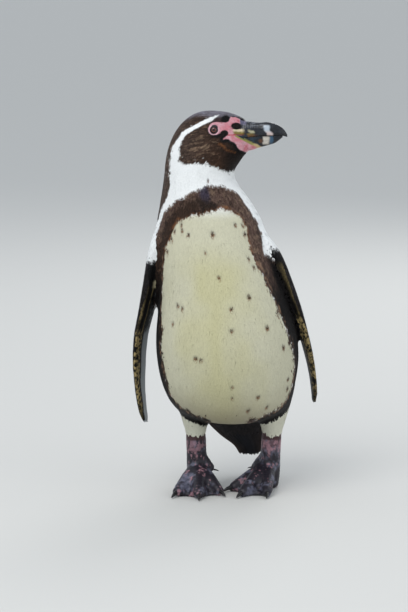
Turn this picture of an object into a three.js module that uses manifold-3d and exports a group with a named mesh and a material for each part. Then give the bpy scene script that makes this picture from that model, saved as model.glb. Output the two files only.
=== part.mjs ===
// A Humboldt penguin standing upright at life size, its head turned to its left.
// Millimetres, +Z up. The belly faces -Y and the bird's own left is +X.
// The origin is on the floor, under the middle of the whole bird.
//
// Every piece is a three.js primitive whose vertices are carried to their place by a function:
// a cylinder becomes a run of sections along the body, a box becomes a web between two toes.
import * as THREE from "three";
import { mergeVertices } from "three/addons/utils/BufferGeometryUtils.js";
import Module from "manifold-3d";

const wasm = await Module();
wasm.setup();

// ---------------------------------------------------------------- driving dimensions

const GAP = 0.35; // clear space between touching pieces
const HEAD_TURN = 6; // degrees by which the bill points forward of straight sideways

// Sections of trunk, neck and head from the vent to the bill's base. Each is an ellipse about
// (x, y, z). Its half width lies across the bird on the trunk and along the head on the head, its
// half depth is square to that, and the tilt turns it over towards the bill, in degrees.
const THROAT = { x: -36.7, y: 2, z: 435, half: 46.8, depth: 43.5, tilt: 0 };
const BODY = [
  { x: 9, y: 5, z: 91.5, half: 12, depth: 11, tilt: 0 }, // vent
  { x: 8.4, y: 3, z: 98, half: 50, depth: 42, tilt: 0 },
  { x: 7, y: -1, z: 114, half: 76.5, depth: 65, tilt: 0 }, // thighs
  { x: 4, y: -5, z: 143, half: 89.5, depth: 79, tilt: 0 },
  { x: 2.7, y: -8, z: 180, half: 96.4, depth: 87, tilt: 0 }, // belly
  { x: 0.9, y: -9, z: 215, half: 96.2, depth: 88, tilt: 0 },
  { x: -1.8, y: -8, z: 250, half: 90.6, depth: 85, tilt: 0 },
  { x: -8, y: -5, z: 290, half: 84.6, depth: 79.5, tilt: 0 }, // breast
  { x: -18, y: -1, z: 335, half: 78.5, depth: 71.5, tilt: 0 },
  { x: -22.4, y: 2, z: 370, half: 71.2, depth: 62, tilt: 0 }, // shoulders
  { x: -27.9, y: 3.5, z: 397, half: 61, depth: 53.5, tilt: 0 },
  { x: -34.6, y: 3.5, z: 420, half: 50.6, depth: 46.5, tilt: 0 },
  THROAT,
  { x: -31.3, y: 1, z: 452.2, half: 50.2, depth: 41, tilt: 2.3 }, // nape
  { x: -24.9, y: 0, z: 467.8, half: 52, depth: 38, tilt: 6.5 },
  { x: -17.7, y: 0, z: 479, half: 51.6, depth: 34, tilt: 15.5 }, // cheeks
  { x: -10.2, y: 0, z: 487.8, half: 48.2, depth: 30.5, tilt: 25 },
  { x: -0.7, y: 0, z: 494.2, half: 41.6, depth: 26, tilt: 35 }, // eyes
  { x: 9.5, y: 0, z: 496.4, half: 33, depth: 18.5, tilt: 44 },
  { x: 19.2, y: 0, z: 497.2, half: 24, depth: 13, tilt: 56 },
  { x: 26.5, y: 0, z: 496.4, half: 15.8, depth: 9.5, tilt: 69 },
  { x: 31, y: 0, z: 495.2, half: 9, depth: 6, tilt: 80 }, // bill's base
];
const NECK_FROM = 9.6; // the neck begins at this row of BODY, counted from 0
const NECK_TO = 12.1; // and ends here, where the head begins

// The bill, in the head's middle plane: x along it, and z above the floor.
const BILL = [
  { x: 8, top: 502, mouth: 483.6, bottom: 478, width: 16 },
  { x: 18, top: 504.6, mouth: 484, bottom: 470.5, width: 14.6 },
  { x: 27, top: 505.2, mouth: 484.8, bottom: 465.8, width: 13 },
  { x: 36, top: 504.8, mouth: 485.8, bottom: 466.8, width: 11.4 },
  { x: 46, top: 503.8, mouth: 486.6, bottom: 470.2, width: 10.2 },
  { x: 57, top: 504.4, mouth: 487, bottom: 473.2, width: 9 },
  { x: 66, top: 502.4, mouth: 487.2, bottom: 476.2, width: 7.6 },
  { x: 72, top: 499.8, mouth: 487.2, bottom: 480.4, width: 6.2 },
  { x: 76.6, top: 496.4, mouth: 486.8, bottom: 484, width: 4.6 },
  { x: 80.4, top: 491.6, mouth: 485.8, bottom: 485, width: 2.8 },
  { x: 82.8, top: 487.4, mouth: 485, bottom: 484.4, width: 1.2 },
];
const LOWER_BILL_END = 76.6; // the lower mandible stops short of the hooked tip

const EYE_RADIUS = 8;
const EYE_PLACE = { x: -13.8, side: 20.8, z: 494.6 }; // in the head's own plane

// Flippers: half chord, half thickness and slant of the chord, from the shoulder to the tip.
const BLADE = [
  { chord: 22, thick: 12, slant: 30 },
  { chord: 30, thick: 10.5, slant: 24 },
  { chord: 32, thick: 8, slant: 15 },
  { chord: 30.5, thick: 6, slant: 8 },
  { chord: 29, thick: 5, slant: 4 },
  { chord: 26, thick: 4.2, slant: 2 },
  { chord: 20.5, thick: 3.4, slant: 0 },
  { chord: 16.5, thick: 3.1, slant: 0 },
  { chord: 9, thick: 2.2, slant: 0 },
];
const RIGHT_BLADE = {
  toeIn: 17, // degrees by which the trailing edge turns in to the body
  line: [
    [-79.5, 1, 359],
    [-90.5, -3, 324],
    [-98.4, -5, 286],
    [-107.4, -4, 246],
    [-115.1, 0, 211],
    [-117.4, 6, 170],
    [-116.6, 13, 134],
    [-113.2, 19, 105],
    [-109.4, 23, 88],
  ],
};
const LEFT_BLADE = {
  toeIn: 9,
  line: [
    [38, 2, 352],
    [61, -2, 322],
    [78, -3, 289],
    [93.5, 0, 252],
    [103.5, 6, 220],
    [113, 16, 184],
    [119, 26, 153],
    [121.8, 34, 129],
    [121.9, 39, 113],
  ],
};

const TAIL = [
  { x: 10, y: 38, z: 152, half: 46, thick: 30 },
  { x: 12, y: 58, z: 116, half: 45, thick: 21 },
  { x: 14, y: 77, z: 84, half: 40, thick: 11.5 },
  { x: 22, y: 88.5, z: 61, half: 29, thick: 6 },
  { x: 32, y: 96, z: 43, half: 19, thick: 3 },
  { x: 35, y: 100.5, z: 28, half: 14.5, thick: 1.6 },
];
const TAIL_LEAN = 22; // degrees by which its sections turn back from level

// Legs: where each ankle stands, where each thigh leaves the body, and how far a foot turns in.
const LEGS = {
  right: { ankle: [-38, 4], thigh: [-41.5, 3], turn: 1 },
  left: { ankle: [58.8, 8], thigh: [63.8, 5], turn: -31 },
};
const THIGH = [
  { z: 150, half: 33, depth: 40 },
  { z: 124, half: 27, depth: 34 },
  { z: 102, half: 20.5, depth: 24 },
  { z: 88, half: 16.6, depth: 18 },
  { z: 78, half: 14.6, depth: 15.6 },
];
const SHANK = [
  { z: 92, half: 13, depth: 13.6, back: 0 },
  { z: 70, half: 14, depth: 13.8, back: 0 },
  { z: 48, half: 13.8, depth: 13.8, back: 0 },
  { z: 26, half: 14.8, depth: 15.2, back: 2 },
  { z: 8, half: 14, depth: 16.5, back: 4 },
  { z: -6, half: 12, depth: 14, back: 4 },
];
// Toes: direction from the foot's own line, length to the claw, and girth of the root.
const TOES = [
  { name: "outer", angle: -28, length: 66, root: 11 },
  { name: "middle", angle: 0, length: 75, root: 12 },
  { name: "inner", angle: 30, length: 60, root: 10.5 },
];
const TOE = { tip: 8.4, start: 1, rise: 33, sink: 5.2 }; // its tube, from the instep to the claw
const WEB = { reach: 0.93, hollow: 0.83, edge: 4, root: 42, start: 3, slope: 1.3 };
const HALLUX = { angle: 74, length: 24, root: 8, tip: 5.4, high: 45, low: 27 };
const CLAW = { length: 12, root: 4.9, tip: 0.9, drop: 4, height: 5.8 };
const HALLUX_CLAW = 0.45; // the size of its claw beside the other toes' claws

// ---------------------------------------------------------------- splines and frames

const radians = THREE.MathUtils.degToRad;

/** Reads rows of named numbers along a smooth line. Knots are spaced by `spacing`, and the slope at
 * each is that of the line through its neighbours. Returns a reader of t from 0 to rows - 1. */
function spline(rows, spacing) {
  const knots = [0];
  for (let i = 1; i < rows.length; i++) {
    knots.push(knots[i - 1] + spacing(rows[i - 1], rows[i]));
  }
  const last = rows.length - 1;
  const slope = (key, i) => {
    const a = Math.max(i - 1, 0);
    const b = Math.min(i + 1, last);
    return (rows[b][key] - rows[a][key]) / (knots[b] - knots[a]);
  };
  const at = (s) => {
    let i = 0;
    while (i < last - 1 && s > knots[i + 1]) i++;
    const width = knots[i + 1] - knots[i];
    const t = (s - knots[i]) / width;
    const row = {};
    for (const key of Object.keys(rows[0])) {
      row[key] =
        rows[i][key] * (1 + 2 * t) * (1 - t) ** 2 +
        slope(key, i) * width * t * (1 - t) ** 2 +
        rows[i + 1][key] * t * t * (3 - 2 * t) -
        slope(key, i + 1) * width * t * t * (1 - t);
    }
    return row;
  };
  const place = (row) => {
    const i = Math.min(Math.floor(row), last - 1);
    return THREE.MathUtils.lerp(knots[i], knots[i + 1], row - i);
  };
  return { at, place, end: knots[last] };
}

/** Moves every vertex of a primitive by a function of its old place. */
function warp(geometry, place) {
  const position = geometry.getAttribute("position");
  const vertex = new THREE.Vector3();
  for (let i = 0; i < position.count; i++) {
    vertex.fromBufferAttribute(position, i);
    position.setXYZ(i, ...place(vertex));
  }
  return geometry;
}

/** Carries a closed cylinder to sections: place(t, angle, reach) has t from 0 at its foot to 1,
 * the angle round it from the front, and reach from 0 at a cap's middle to 1 on the surface. */
function carry(segments, levels, place) {
  const cylinder = new THREE.CylinderGeometry(1, 1, 1, segments, levels);
  return warp(cylinder, (v) => {
    return place(v.y + 0.5, Math.atan2(v.x, v.z), Math.hypot(v.x, v.z));
  });
}

function solid(geometry) {
  const bare = geometry.clone().deleteAttribute("normal").deleteAttribute("uv");
  const merged = mergeVertices(bare, 1e-4);
  return new wasm.Manifold(
    new wasm.Mesh({
      numProp: 3,
      vertProperties: merged.attributes.position.array,
      triVerts: new Uint32Array(merged.index.array),
    }),
  );
}

function geometryOf(manifold) {
  const mesh = manifold.getMesh();
  return new THREE.BufferGeometry()
    .setAttribute("position", new THREE.BufferAttribute(mesh.vertProperties, 3))
    .setIndex(new THREE.BufferAttribute(mesh.triVerts, 1));
}

// ---------------------------------------------------------------- trunk, neck and head

const BODY_SIDES = 34; // facets round the body, and levels along its two long pieces
const TRUNK_LEVELS = 21;
const HEAD_LEVELS = 16;

const bodyLine = spline(BODY, (a, b) =>
  Math.hypot(b.x - a.x, b.y - a.y, b.z - a.z, b.half - a.half),
);
const turn = radians(HEAD_TURN);

/** Turns a point of the straight-sideways head forward to where the bird looks. */
function turned(x, y, z, share = 1) {
  const dx = x - THROAT.x;
  const a = turn * share;
  return [
    THROAT.x + dx * Math.cos(a) + y * Math.sin(a),
    y * Math.cos(a) - dx * Math.sin(a),
    z,
  ];
}

/** A point of the body: s along its line, angle from the belly towards the bird's left. */
function bodyPoint(s, angle, reach, grow = 0) {
  const c = bodyLine.at(s);
  const tilt = radians(c.tilt);
  const along = (c.half + grow) * Math.sin(angle) * reach;
  const side = -(c.depth + grow) * Math.cos(angle) * reach;
  const share = THREE.MathUtils.smoothstep(c.z, THROAT.z - 20, THROAT.z + 30);
  const x = c.x + along * Math.cos(tilt);
  const z = c.z - along * Math.sin(tilt);
  return turned(x, c.y + side, z, share);
}

/** A length of the body between two places on its line, made fatter by `grow` all round. */
function bodyPiece(from, to, levels, grow = 0) {
  return solid(
    carry(BODY_SIDES, levels, (t, angle, reach) =>
      bodyPoint(THREE.MathUtils.lerp(from, to, t), angle, reach, grow),
    ),
  );
}

const neckFrom = bodyLine.place(NECK_FROM);
const neckTo = bodyLine.place(NECK_TO);
const trunk = bodyPiece(0, neckFrom - 1.2 * GAP, TRUNK_LEVELS);
const trunkRoom = bodyPiece(0, neckFrom - 1.2 * GAP, TRUNK_LEVELS, GAP);
const neck = bodyPiece(neckFrom, neckTo - 1.2 * GAP, 5);
const headWhole = bodyPiece(neckTo, bodyLine.end, HEAD_LEVELS);
const headRoom = bodyPiece(neckTo, bodyLine.end, HEAD_LEVELS, GAP);

// ---------------------------------------------------------------- bill and eyes

const billLine = spline(BILL, (a, b) => b.x - a.x);

/** Half of the bill: its edge lies on the mouth line and its far side on `rim`. */
function mandible(rim, end) {
  const levels = 10;
  const from = BILL[0].x;
  return solid(
    carry(14, levels, (t, angle, reach) => {
      const x = THREE.MathUtils.lerp(from, end, 1 - t);
      const c = billLine.at(x - from);
      const up = rim === "top" ? 1 : -1;
      const seam = c.mouth + (up * GAP) / 2;
      const height = Math.max(Math.abs(c[rim] - seam), 0.5);
      const rise = Math.max(up * Math.sin(angle), 0);
      const across = -c.width * Math.cos(angle) * reach;
      return turned(x, across, seam + up * height * rise * reach);
    }),
  );
}

const eyeAt = (side) => turned(EYE_PLACE.x, side * EYE_PLACE.side, EYE_PLACE.z);

function eyeball(side, radius) {
  const ball = new THREE.SphereGeometry(radius, 12, 8);
  return solid(ball.translate(...eyeAt(side)));
}

const sockets = eyeball(-1, EYE_RADIUS + GAP).add(eyeball(1, EYE_RADIUS + GAP));
const head = headWhole.subtract(sockets);

// ---------------------------------------------------------------- flippers

function flipper(place, side) {
  const rows = BLADE.map((b, i) => {
    const [x, y, z] = place.line[i];
    return { ...b, x, y, z };
  });
  const blade = spline(rows, (a, b) => Math.hypot(b.x - a.x, b.y - a.y, b.z - a.z));
  const toeIn = radians(place.toeIn);
  return solid(
    carry(14, 18, (t, angle, reach) => {
      const c = blade.at(blade.end * (1 - t));
      const slant = radians(c.slant);
      const chord = new THREE.Vector3(
        -side * Math.sin(toeIn),
        Math.cos(toeIn) * Math.cos(slant),
        -Math.cos(toeIn) * Math.sin(slant),
      );
      const outward = new THREE.Vector3(side * Math.cos(toeIn), Math.sin(toeIn), 0);
      const along = -c.chord * Math.cos(angle) * reach;
      const fullness = 1 + 0.3 * Math.cos(angle); // thickest near the leading edge
      const across = side * c.thick * Math.sin(angle) * fullness * reach;
      const point = new THREE.Vector3(c.x, c.y, c.z);
      point.addScaledVector(chord, along).addScaledVector(outward, across);
      return point.toArray();
    }),
  ).subtract(trunkRoom);
}

// ---------------------------------------------------------------- tail

const tailLine = spline(TAIL, (a, b) => Math.hypot(b.y - a.y, b.z - a.z));

function tailSolid() {
  const lean = radians(TAIL_LEAN);
  return solid(
    carry(20, 8, (t, angle, reach) => {
      const c = tailLine.at(tailLine.end * (1 - t));
      const across = c.half * Math.sin(angle) * reach;
      const deep = -c.thick * Math.cos(angle) * reach;
      return [
        c.x + across,
        c.y + deep * Math.cos(lean),
        c.z + deep * Math.sin(lean),
      ];
    }),
  ).subtract(trunkRoom);
}

// ---------------------------------------------------------------- legs and feet

const biggest = (solidBody) => {
  const bodies = solidBody.decompose();
  return bodies.reduce((a, b) => (a.volume() > b.volume() ? a : b));
};

/** A column of level sections that stands at (x, y) at its top and at (x2, y2) at its foot. */
function column(rows, top, foot, segments, levels, grow = 0) {
  const line = spline(rows, (a, b) => a.z - b.z);
  const high = rows[0].z;
  const low = rows[rows.length - 1].z;
  return solid(
    carry(segments, levels, (t, angle, reach) => {
      const c = line.at(line.end * (1 - t));
      const down = (high - c.z) / (high - low);
      const x = THREE.MathUtils.lerp(top[0], foot[0], down);
      const y = THREE.MathUtils.lerp(top[1], foot[1], down) + (c.back ?? 0);
      return [
        x + (c.half + grow) * Math.sin(angle) * reach,
        y - (c.depth + grow) * Math.cos(angle) * reach,
        c.z,
      ];
    }),
  );
}

/** A tube that tapers from `start` to a rounded `end`, with faint knuckles. Points are [x, y, z]. */
function toeTube(start, end, root, tip, segments, levels) {
  const a = new THREE.Vector3(...start);
  const b = new THREE.Vector3(...end);
  const forward = new THREE.Vector3(b.x - a.x, b.y - a.y, 0).normalize();
  const across = new THREE.Vector3(forward.y, -forward.x, 0);
  return solid(
    carry(segments, levels, (t, angle, reach) => {
      const radius = THREE.MathUtils.lerp(root, tip, t ** 0.8) * (1 - 0.3 * t ** 8);
      const knuckle = 1 + 0.07 * Math.cos(t * 4 * Math.PI) * t;
      const point = a.clone().lerp(b, t);
      const up = 0.9 * radius * knuckle * Math.cos(angle) * reach;
      point.addScaledVector(across, radius * knuckle * Math.sin(angle) * reach);
      return [point.x, point.y, point.z + up];
    }),
  );
}

/** The web between two toes: a box whose sides lie along them and whose edge is hollow. */
function web(ankle, toe, other) {
  const [first, second] = toe.angle > other.angle ? [toe, other] : [other, toe];
  const box = new THREE.BoxGeometry(1, 1, 1, 8, 5, 1);
  return solid(
    warp(box, (v) => {
      const side = v.x + 0.5;
      const out = v.y + 0.5;
      const angle = THREE.MathUtils.lerp(first.angle, second.angle, side);
      const length = THREE.MathUtils.lerp(first.length, second.length, side);
      const hollow = WEB.reach - (WEB.reach - WEB.hollow) * 4 * side * (1 - side);
      const reach = THREE.MathUtils.lerp(WEB.start, length * hollow, out);
      const thick = WEB.edge + (WEB.root - WEB.edge) * (1 - out) ** WEB.slope;
      const [x, y] = polar(ankle, angle, reach);
      return [x, y, v.z > 0 ? thick : -1];
    }),
  );
}

/** The point at a distance from a centre, the angle measured from straight ahead to the left. */
function polar(centre, degrees, distance) {
  const a = radians(degrees);
  return [centre[0] + distance * Math.sin(a), centre[1] - distance * Math.cos(a)];
}

/** The toes of one foot with their directions in the bird's frame, mirrored for the left foot. */
function toesOf(side) {
  const mirror = side === "left" ? -1 : 1;
  return TOES.map((toe) => ({
    ...toe,
    angle: mirror * toe.angle + LEGS[side].turn,
  }));
}

const floorRoom = solid(
  new THREE.BoxGeometry(600, 600, 100).translate(0, 0, 50),
);

/** One hallux: the small first toe, on the inner side of the ankle and clear of the floor. */
function halluxPoints(side) {
  const mirror = side === "left" ? -1 : 1;
  const angle = mirror * HALLUX.angle + LEGS[side].turn;
  const ankle = LEGS[side].ankle;
  const root = [...polar(ankle, angle, 8), HALLUX.high];
  const tip = [...polar(ankle, angle, HALLUX.length), HALLUX.low];
  return { root, tip, angle };
}

function foot(side) {
  const leg = LEGS[side];
  const toes = toesOf(side);
  let made = column(SHANK, leg.thigh, leg.ankle, 14, 7);
  for (const toe of toes) {
    const start = [...polar(leg.ankle, toe.angle, TOE.start), TOE.rise];
    const end = [...polar(leg.ankle, toe.angle, toe.length), TOE.sink];
    made = made.add(toeTube(start, end, toe.root, TOE.tip, 10, 6));
  }
  made = made.add(web(leg.ankle, toes[0], toes[1]));
  made = made.add(web(leg.ankle, toes[1], toes[2]));
  const hallux = halluxPoints(side);
  made = made.add(toeTube(hallux.root, hallux.tip, HALLUX.root, HALLUX.tip, 8, 3));
  return made.intersect(floorRoom);
}

function claw(from, angle, scale) {
  const length = CLAW.length * scale;
  return solid(
    carry(7, 3, (t, around, reach) => {
      const radius = THREE.MathUtils.lerp(CLAW.root, CLAW.tip, t) * scale;
      const [x, y] = polar(from, angle, GAP + length * t);
      const side = radians(angle);
      const across = radius * Math.sin(around) * reach;
      const up = radius * Math.cos(around) * reach;
      return [
        x - across * Math.cos(side),
        y - across * Math.sin(side),
        from[2] - CLAW.drop * scale * t * t + up,
      ];
    }),
  );
}

// ---------------------------------------------------------------- finishes and assembly

const finish = (color, roughness) =>
  new THREE.MeshStandardMaterial({ color, roughness, metalness: 0 });
const DARK_PLUMAGE = finish(0x33261f, 0.8);
const WHITE_PLUMAGE = finish(0xdedccb, 0.8);
const BLADE_PLUMAGE = finish(0x1d1a1a, 0.6);
const HORN = finish(0x1c1d20, 0.35);
const FOOT_SKIN = finish(0x2a2428, 0.5);
const EYE = finish(0x2a1210, 0.08);

const penguin = new THREE.Group();

function add(name, manifold, material) {
  const mesh = new THREE.Mesh(geometryOf(biggest(manifold)), material);
  mesh.name = name;
  penguin.add(mesh);
}

add("trunk", trunk, WHITE_PLUMAGE);
add("neck", neck, WHITE_PLUMAGE);
add("head", head, DARK_PLUMAGE);
add("tail", tailSolid(), DARK_PLUMAGE);
add("bill_upper", mandible("top", BILL.at(-1).x).subtract(headRoom), HORN);
add("bill_lower", mandible("bottom", LOWER_BILL_END).subtract(headRoom), HORN);
add("eye_right", eyeball(-1, EYE_RADIUS), EYE);
add("eye_left", eyeball(1, EYE_RADIUS), EYE);
add("flipper_right", flipper(RIGHT_BLADE, -1), BLADE_PLUMAGE);
add("flipper_left", flipper(LEFT_BLADE, 1), BLADE_PLUMAGE);

for (const side of ["right", "left"]) {
  const leg = LEGS[side];
  const foothold = column(SHANK, leg.thigh, leg.ankle, 14, 7, GAP);
  const thigh = column(THIGH, leg.thigh, leg.thigh, 18, 6);
  const footSolid = foot(side).subtract(trunkRoom);
  add(`thigh_${side}`, thigh.subtract(trunkRoom).subtract(foothold), WHITE_PLUMAGE);
  add(`foot_${side}`, footSolid, FOOT_SKIN);
  for (const toe of toesOf(side)) {
    const tip = [...polar(leg.ankle, toe.angle, toe.length), CLAW.height];
    add(`claw_${side}_${toe.name}`, claw(tip, toe.angle, 1), HORN);
  }
  const hallux = halluxPoints(side);
  add(`claw_${side}_hallux`, claw(hallux.tip, hallux.angle, HALLUX_CLAW), HORN);
}

const box = new THREE.Box3().setFromObject(penguin);
const middle = box.getCenter(new THREE.Vector3());
penguin.position.set(-middle.x, -middle.y, -box.min.z);

export default penguin;
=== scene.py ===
"""A Humboldt penguin at life size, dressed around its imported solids.

One skin takes the place of the solids of flesh, a coat of small solid feathers lies on it, and the
bill, the eyes, the claws and the tail feathers are pieces of their own. Shapes are worked out in
millimetres, with +Z up, the belly towards -Y and the bird's own left towards +X.
"""
import logging
import math
from dataclasses import dataclass, field
from enum import Enum
from functools import partial
from types import SimpleNamespace

import bmesh
import bpy
import numpy as np
from bpy.types import ID, Material, Node, NodeSocket, NodeTree, Object
from mathutils.bvhtree import BVHTree
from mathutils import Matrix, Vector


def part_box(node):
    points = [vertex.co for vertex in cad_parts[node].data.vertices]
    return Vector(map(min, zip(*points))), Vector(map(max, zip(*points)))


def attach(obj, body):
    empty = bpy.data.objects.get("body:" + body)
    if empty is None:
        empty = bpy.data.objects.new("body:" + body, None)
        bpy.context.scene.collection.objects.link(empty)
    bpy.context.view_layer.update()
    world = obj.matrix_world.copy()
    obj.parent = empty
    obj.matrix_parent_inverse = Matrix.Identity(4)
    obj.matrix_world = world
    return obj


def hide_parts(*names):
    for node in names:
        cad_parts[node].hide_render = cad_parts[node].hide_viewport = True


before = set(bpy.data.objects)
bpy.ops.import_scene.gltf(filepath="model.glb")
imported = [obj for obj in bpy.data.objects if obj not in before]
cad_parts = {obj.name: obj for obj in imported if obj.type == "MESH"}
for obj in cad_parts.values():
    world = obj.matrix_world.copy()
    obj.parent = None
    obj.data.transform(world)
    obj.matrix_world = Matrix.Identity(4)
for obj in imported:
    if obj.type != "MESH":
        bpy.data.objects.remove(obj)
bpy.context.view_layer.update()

Array = np.ndarray  # rows of numbers, mostly one for each point
MM = 0.001
DRAWING_TILT = math.radians(8.5)  # the drawings of the markings look down on the bird by this much
HEAD_TURN = math.radians(6)  # the head looks to the bird's left by this much
UP = np.array([0.0, 0.0, 1.0])
log = logging.getLogger("penguin")


class Region(Enum):
    """The parts of the body that the skin and the coat tell apart."""

    TRUNK = 0
    NECK = 1
    HEAD = 2
    THIGH = 3
    FOOT = 4
    FLIPPER = 5
    TAIL = 6


FLESH = {
    "trunk": Region.TRUNK,
    "neck": Region.NECK,
    "head": Region.HEAD,
    "thigh_right": Region.THIGH,
    "thigh_left": Region.THIGH,
    "foot_right": Region.FOOT,
    "foot_left": Region.FOOT,
    "flipper_right": Region.FLIPPER,
    "flipper_left": Region.FLIPPER,
    "tail": Region.TAIL,
}


# -------- numbers and noise


def linear(code: str) -> Array:
    """An sRGB hex colour in linear light: c / 12.92, or ((c + 0.055) / 1.055) ** 2.4."""
    c = np.array([int(code[i : i + 2], 16) / 255 for i in (1, 3, 5)])
    return np.where(c <= 0.04045, c / 12.92, ((c + 0.055) / 1.055) ** 2.4)


def rgba(code: str) -> tuple[float, float, float, float]:
    """An sRGB hex colour as the four numbers of a colour socket."""
    return (*linear(code), 1.0)


def unit(v: Array) -> Array:
    """Vectors brought to length one."""
    return v / np.maximum(np.linalg.norm(v, axis=-1, keepdims=True), 1e-9)


def ramp(low: float, high: float, x: Array) -> Array:
    """A smooth step from 0 at low to 1 at high: 3 t t - 2 t t t, with t the share of the way."""
    t = np.clip((x - low) / (high - low), 0, 1)
    return t * t * (3 - 2 * t)


def bell(x: Array, middle: float, width: float) -> Array:
    """A smooth bump, 1 at the middle: e ** (-t t), with t the distance from it over the width."""
    return np.exp(-(((x - middle) / width) ** 2))


def oval(points: Array, middle: Array | tuple, half: tuple[float, float]) -> Array:
    """How far points of a plane lie from an oval's middle, as a share of the way to its rim."""
    return np.hypot(*((points - middle) / half).T)


def full_turn(count: int) -> Array:
    """Angles spaced evenly round a circle."""
    return np.linspace(0, math.tau, count, endpoint=False)


def mix(a: Array, b: Array, share: Array | float) -> Array:
    """Rows of a and b mixed by a share of b for each row."""
    return a + (b - a) * np.asarray(share)[..., None]


def curve(knots: Array, rows: Array, at: Array) -> Array:
    """Reads rows of numbers along a smooth line, a cubic with the slope of the neighbours' chord.

    Args:
        knots: The place of each row along the line, rising.
        rows: One row of numbers for each knot.
        at: Places to read.

    Returns:
        One row of numbers for each place.
    """
    knots = np.asarray(knots, float)
    rows = np.asarray(rows, float)
    last = len(knots) - 1
    index = np.arange(last + 1)
    a, b = np.maximum(index - 1, 0), np.minimum(index + 1, last)
    slope = (rows[b] - rows[a]) / (knots[b] - knots[a])[:, None]
    i = np.clip(np.searchsorted(knots, at, side="right") - 1, 0, last - 1)
    width = (knots[i + 1] - knots[i])[:, None]
    t = (np.asarray(at)[:, None] - knots[i][:, None]) / width
    first = rows[i] * (1 + 2 * t) * (1 - t) ** 2 + slope[i] * width * t * (1 - t) ** 2
    second = rows[i + 1] * t * t * (3 - 2 * t) - slope[i + 1] * width * t * t * (1 - t)
    return first + second


def scramble(cells: Array, seed: int) -> Array:
    """A number from 0 to 1 for each whole-numbered cell, by multiplying and shifting its digits."""
    c = cells.astype(np.int64).astype(np.uint32)
    h = c[..., 0] * np.uint32(374761393) + c[..., 1] * np.uint32(668265263)
    h = h + c[..., 2] * np.uint32(2246822519) + np.uint32((seed * 3266489917) % 2**32)
    h = (h ^ (h >> np.uint32(13))) * np.uint32(1274126177)
    h = (h ^ (h >> np.uint32(16))) * np.uint32(2654435761)
    return (h ^ (h >> np.uint32(15))).astype(np.float64) / 2**32


def noise(points: Array, size: float, seed: int) -> Array:
    """Smooth noise from -1 to 1: random numbers on a cubic lattice, blended between its corners.

    Args:
        points: Places in millimetres.
        size: Spacing of the lattice in millimetres.
        seed: Picks the lattice's numbers.

    Returns:
        One number for each place.
    """
    p = points / size
    base = np.floor(p)
    t = p - base
    t = t * t * (3 - 2 * t)
    total = np.zeros(len(points))
    for corner in np.ndindex(2, 2, 2):
        c = np.array(corner)
        weight = np.prod(np.where(c, t, 1 - t), axis=1)
        total += weight * scramble(base + c, seed)
    return 2 * total - 1


def outline_depth(points: Array, outline: Array) -> Array:
    """How deep points of a plane lie inside a closed outline, less than zero outside it.

    The depth is the distance to the nearest edge. A ray to the right of a point inside crosses the
    outline an odd number of times.

    Args:
        points: Points of the plane.
        outline: The outline's corners in order.

    Returns:
        The depth of each point.
    """
    a = np.asarray(outline, float)
    b = np.roll(a, -1, axis=0)
    nearest = np.full(len(points), np.inf)
    inside = np.zeros(len(points), bool)
    for (ax, ay), (bx, by) in zip(a, b):
        ex, ey = bx - ax, by - ay
        t = np.clip(((points[:, 0] - ax) * ex + (points[:, 1] - ay) * ey) / (ex * ex + ey * ey + 1e-9), 0, 1)
        nearest = np.minimum(nearest, np.hypot(points[:, 0] - ax - t * ex, points[:, 1] - ay - t * ey))
        spans = (ay > points[:, 1]) != (by > points[:, 1])
        crossing = ax + (points[:, 1] - ay) * ex / (ey if abs(ey) > 1e-9 else 1e-9)
        inside ^= spans & (points[:, 0] < crossing)
    return np.where(inside, nearest, -nearest)


def far_from(points: Array, a: tuple[float, float], b: tuple[float, float]) -> Array:
    """Distance of points of a plane from the straight stroke between a and b."""
    start, run = np.array(a), np.array(b) - np.array(a)
    share = np.clip((points - start) @ run / (run @ run), 0, 1)
    return np.linalg.norm(points - start - share[:, None] * run, axis=1)


# -------- meshes


@dataclass
class Shape:
    """A mesh as arrays: points in millimetres, and faces of three and of four corners."""

    points: Array
    tris: Array = field(default_factory=lambda: np.zeros((0, 3), int))
    quads: Array = field(default_factory=lambda: np.zeros((0, 4), int))

    def joined(self, other: "Shape") -> "Shape":
        """This shape and another as one mesh of two islands."""
        n = len(self.points)
        return Shape(
            np.concatenate([self.points, other.points]),
            np.concatenate([self.tris, other.tris + n]),
            np.concatenate([self.quads, other.quads + n]),
        )

    def all_tris(self) -> Array:
        """Every face as triangles, each quad cut once."""
        return np.concatenate([self.tris, self.quads[:, [0, 1, 2]], self.quads[:, [0, 2, 3]]])

    def normals(self) -> Array:
        """Each point's normal: the sum of its triangles' area vectors, brought to length one."""
        tris = self.all_tris()
        p = self.points
        area = np.cross(p[tris[:, 1]] - p[tris[:, 0]], p[tris[:, 2]] - p[tris[:, 0]])
        sums = [np.bincount(tris.ravel(), np.repeat(area[:, k], 3), len(p)) for k in range(3)]
        return unit(np.stack(sums, axis=1))

    def edges(self) -> Array:
        """Each edge once, as a pair of points."""
        rings = [np.stack([f, np.roll(f, -1, axis=1)], axis=2) for f in (self.tris, self.quads)]
        pairs = np.concatenate([ring.reshape(-1, 2) for ring in rings])
        return np.unique(np.sort(pairs, axis=1), axis=0)

    def turned_out(self) -> "Shape":
        """The same shape with its faces pointing out: all are turned over if its volume is below zero."""
        t = self.points[self.all_tris()]
        if np.einsum("ij,ij->", t[:, 0], np.cross(t[:, 1], t[:, 2])) > 0:
            return self
        return Shape(self.points, self.tris[:, ::-1], self.quads[:, ::-1])


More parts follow.
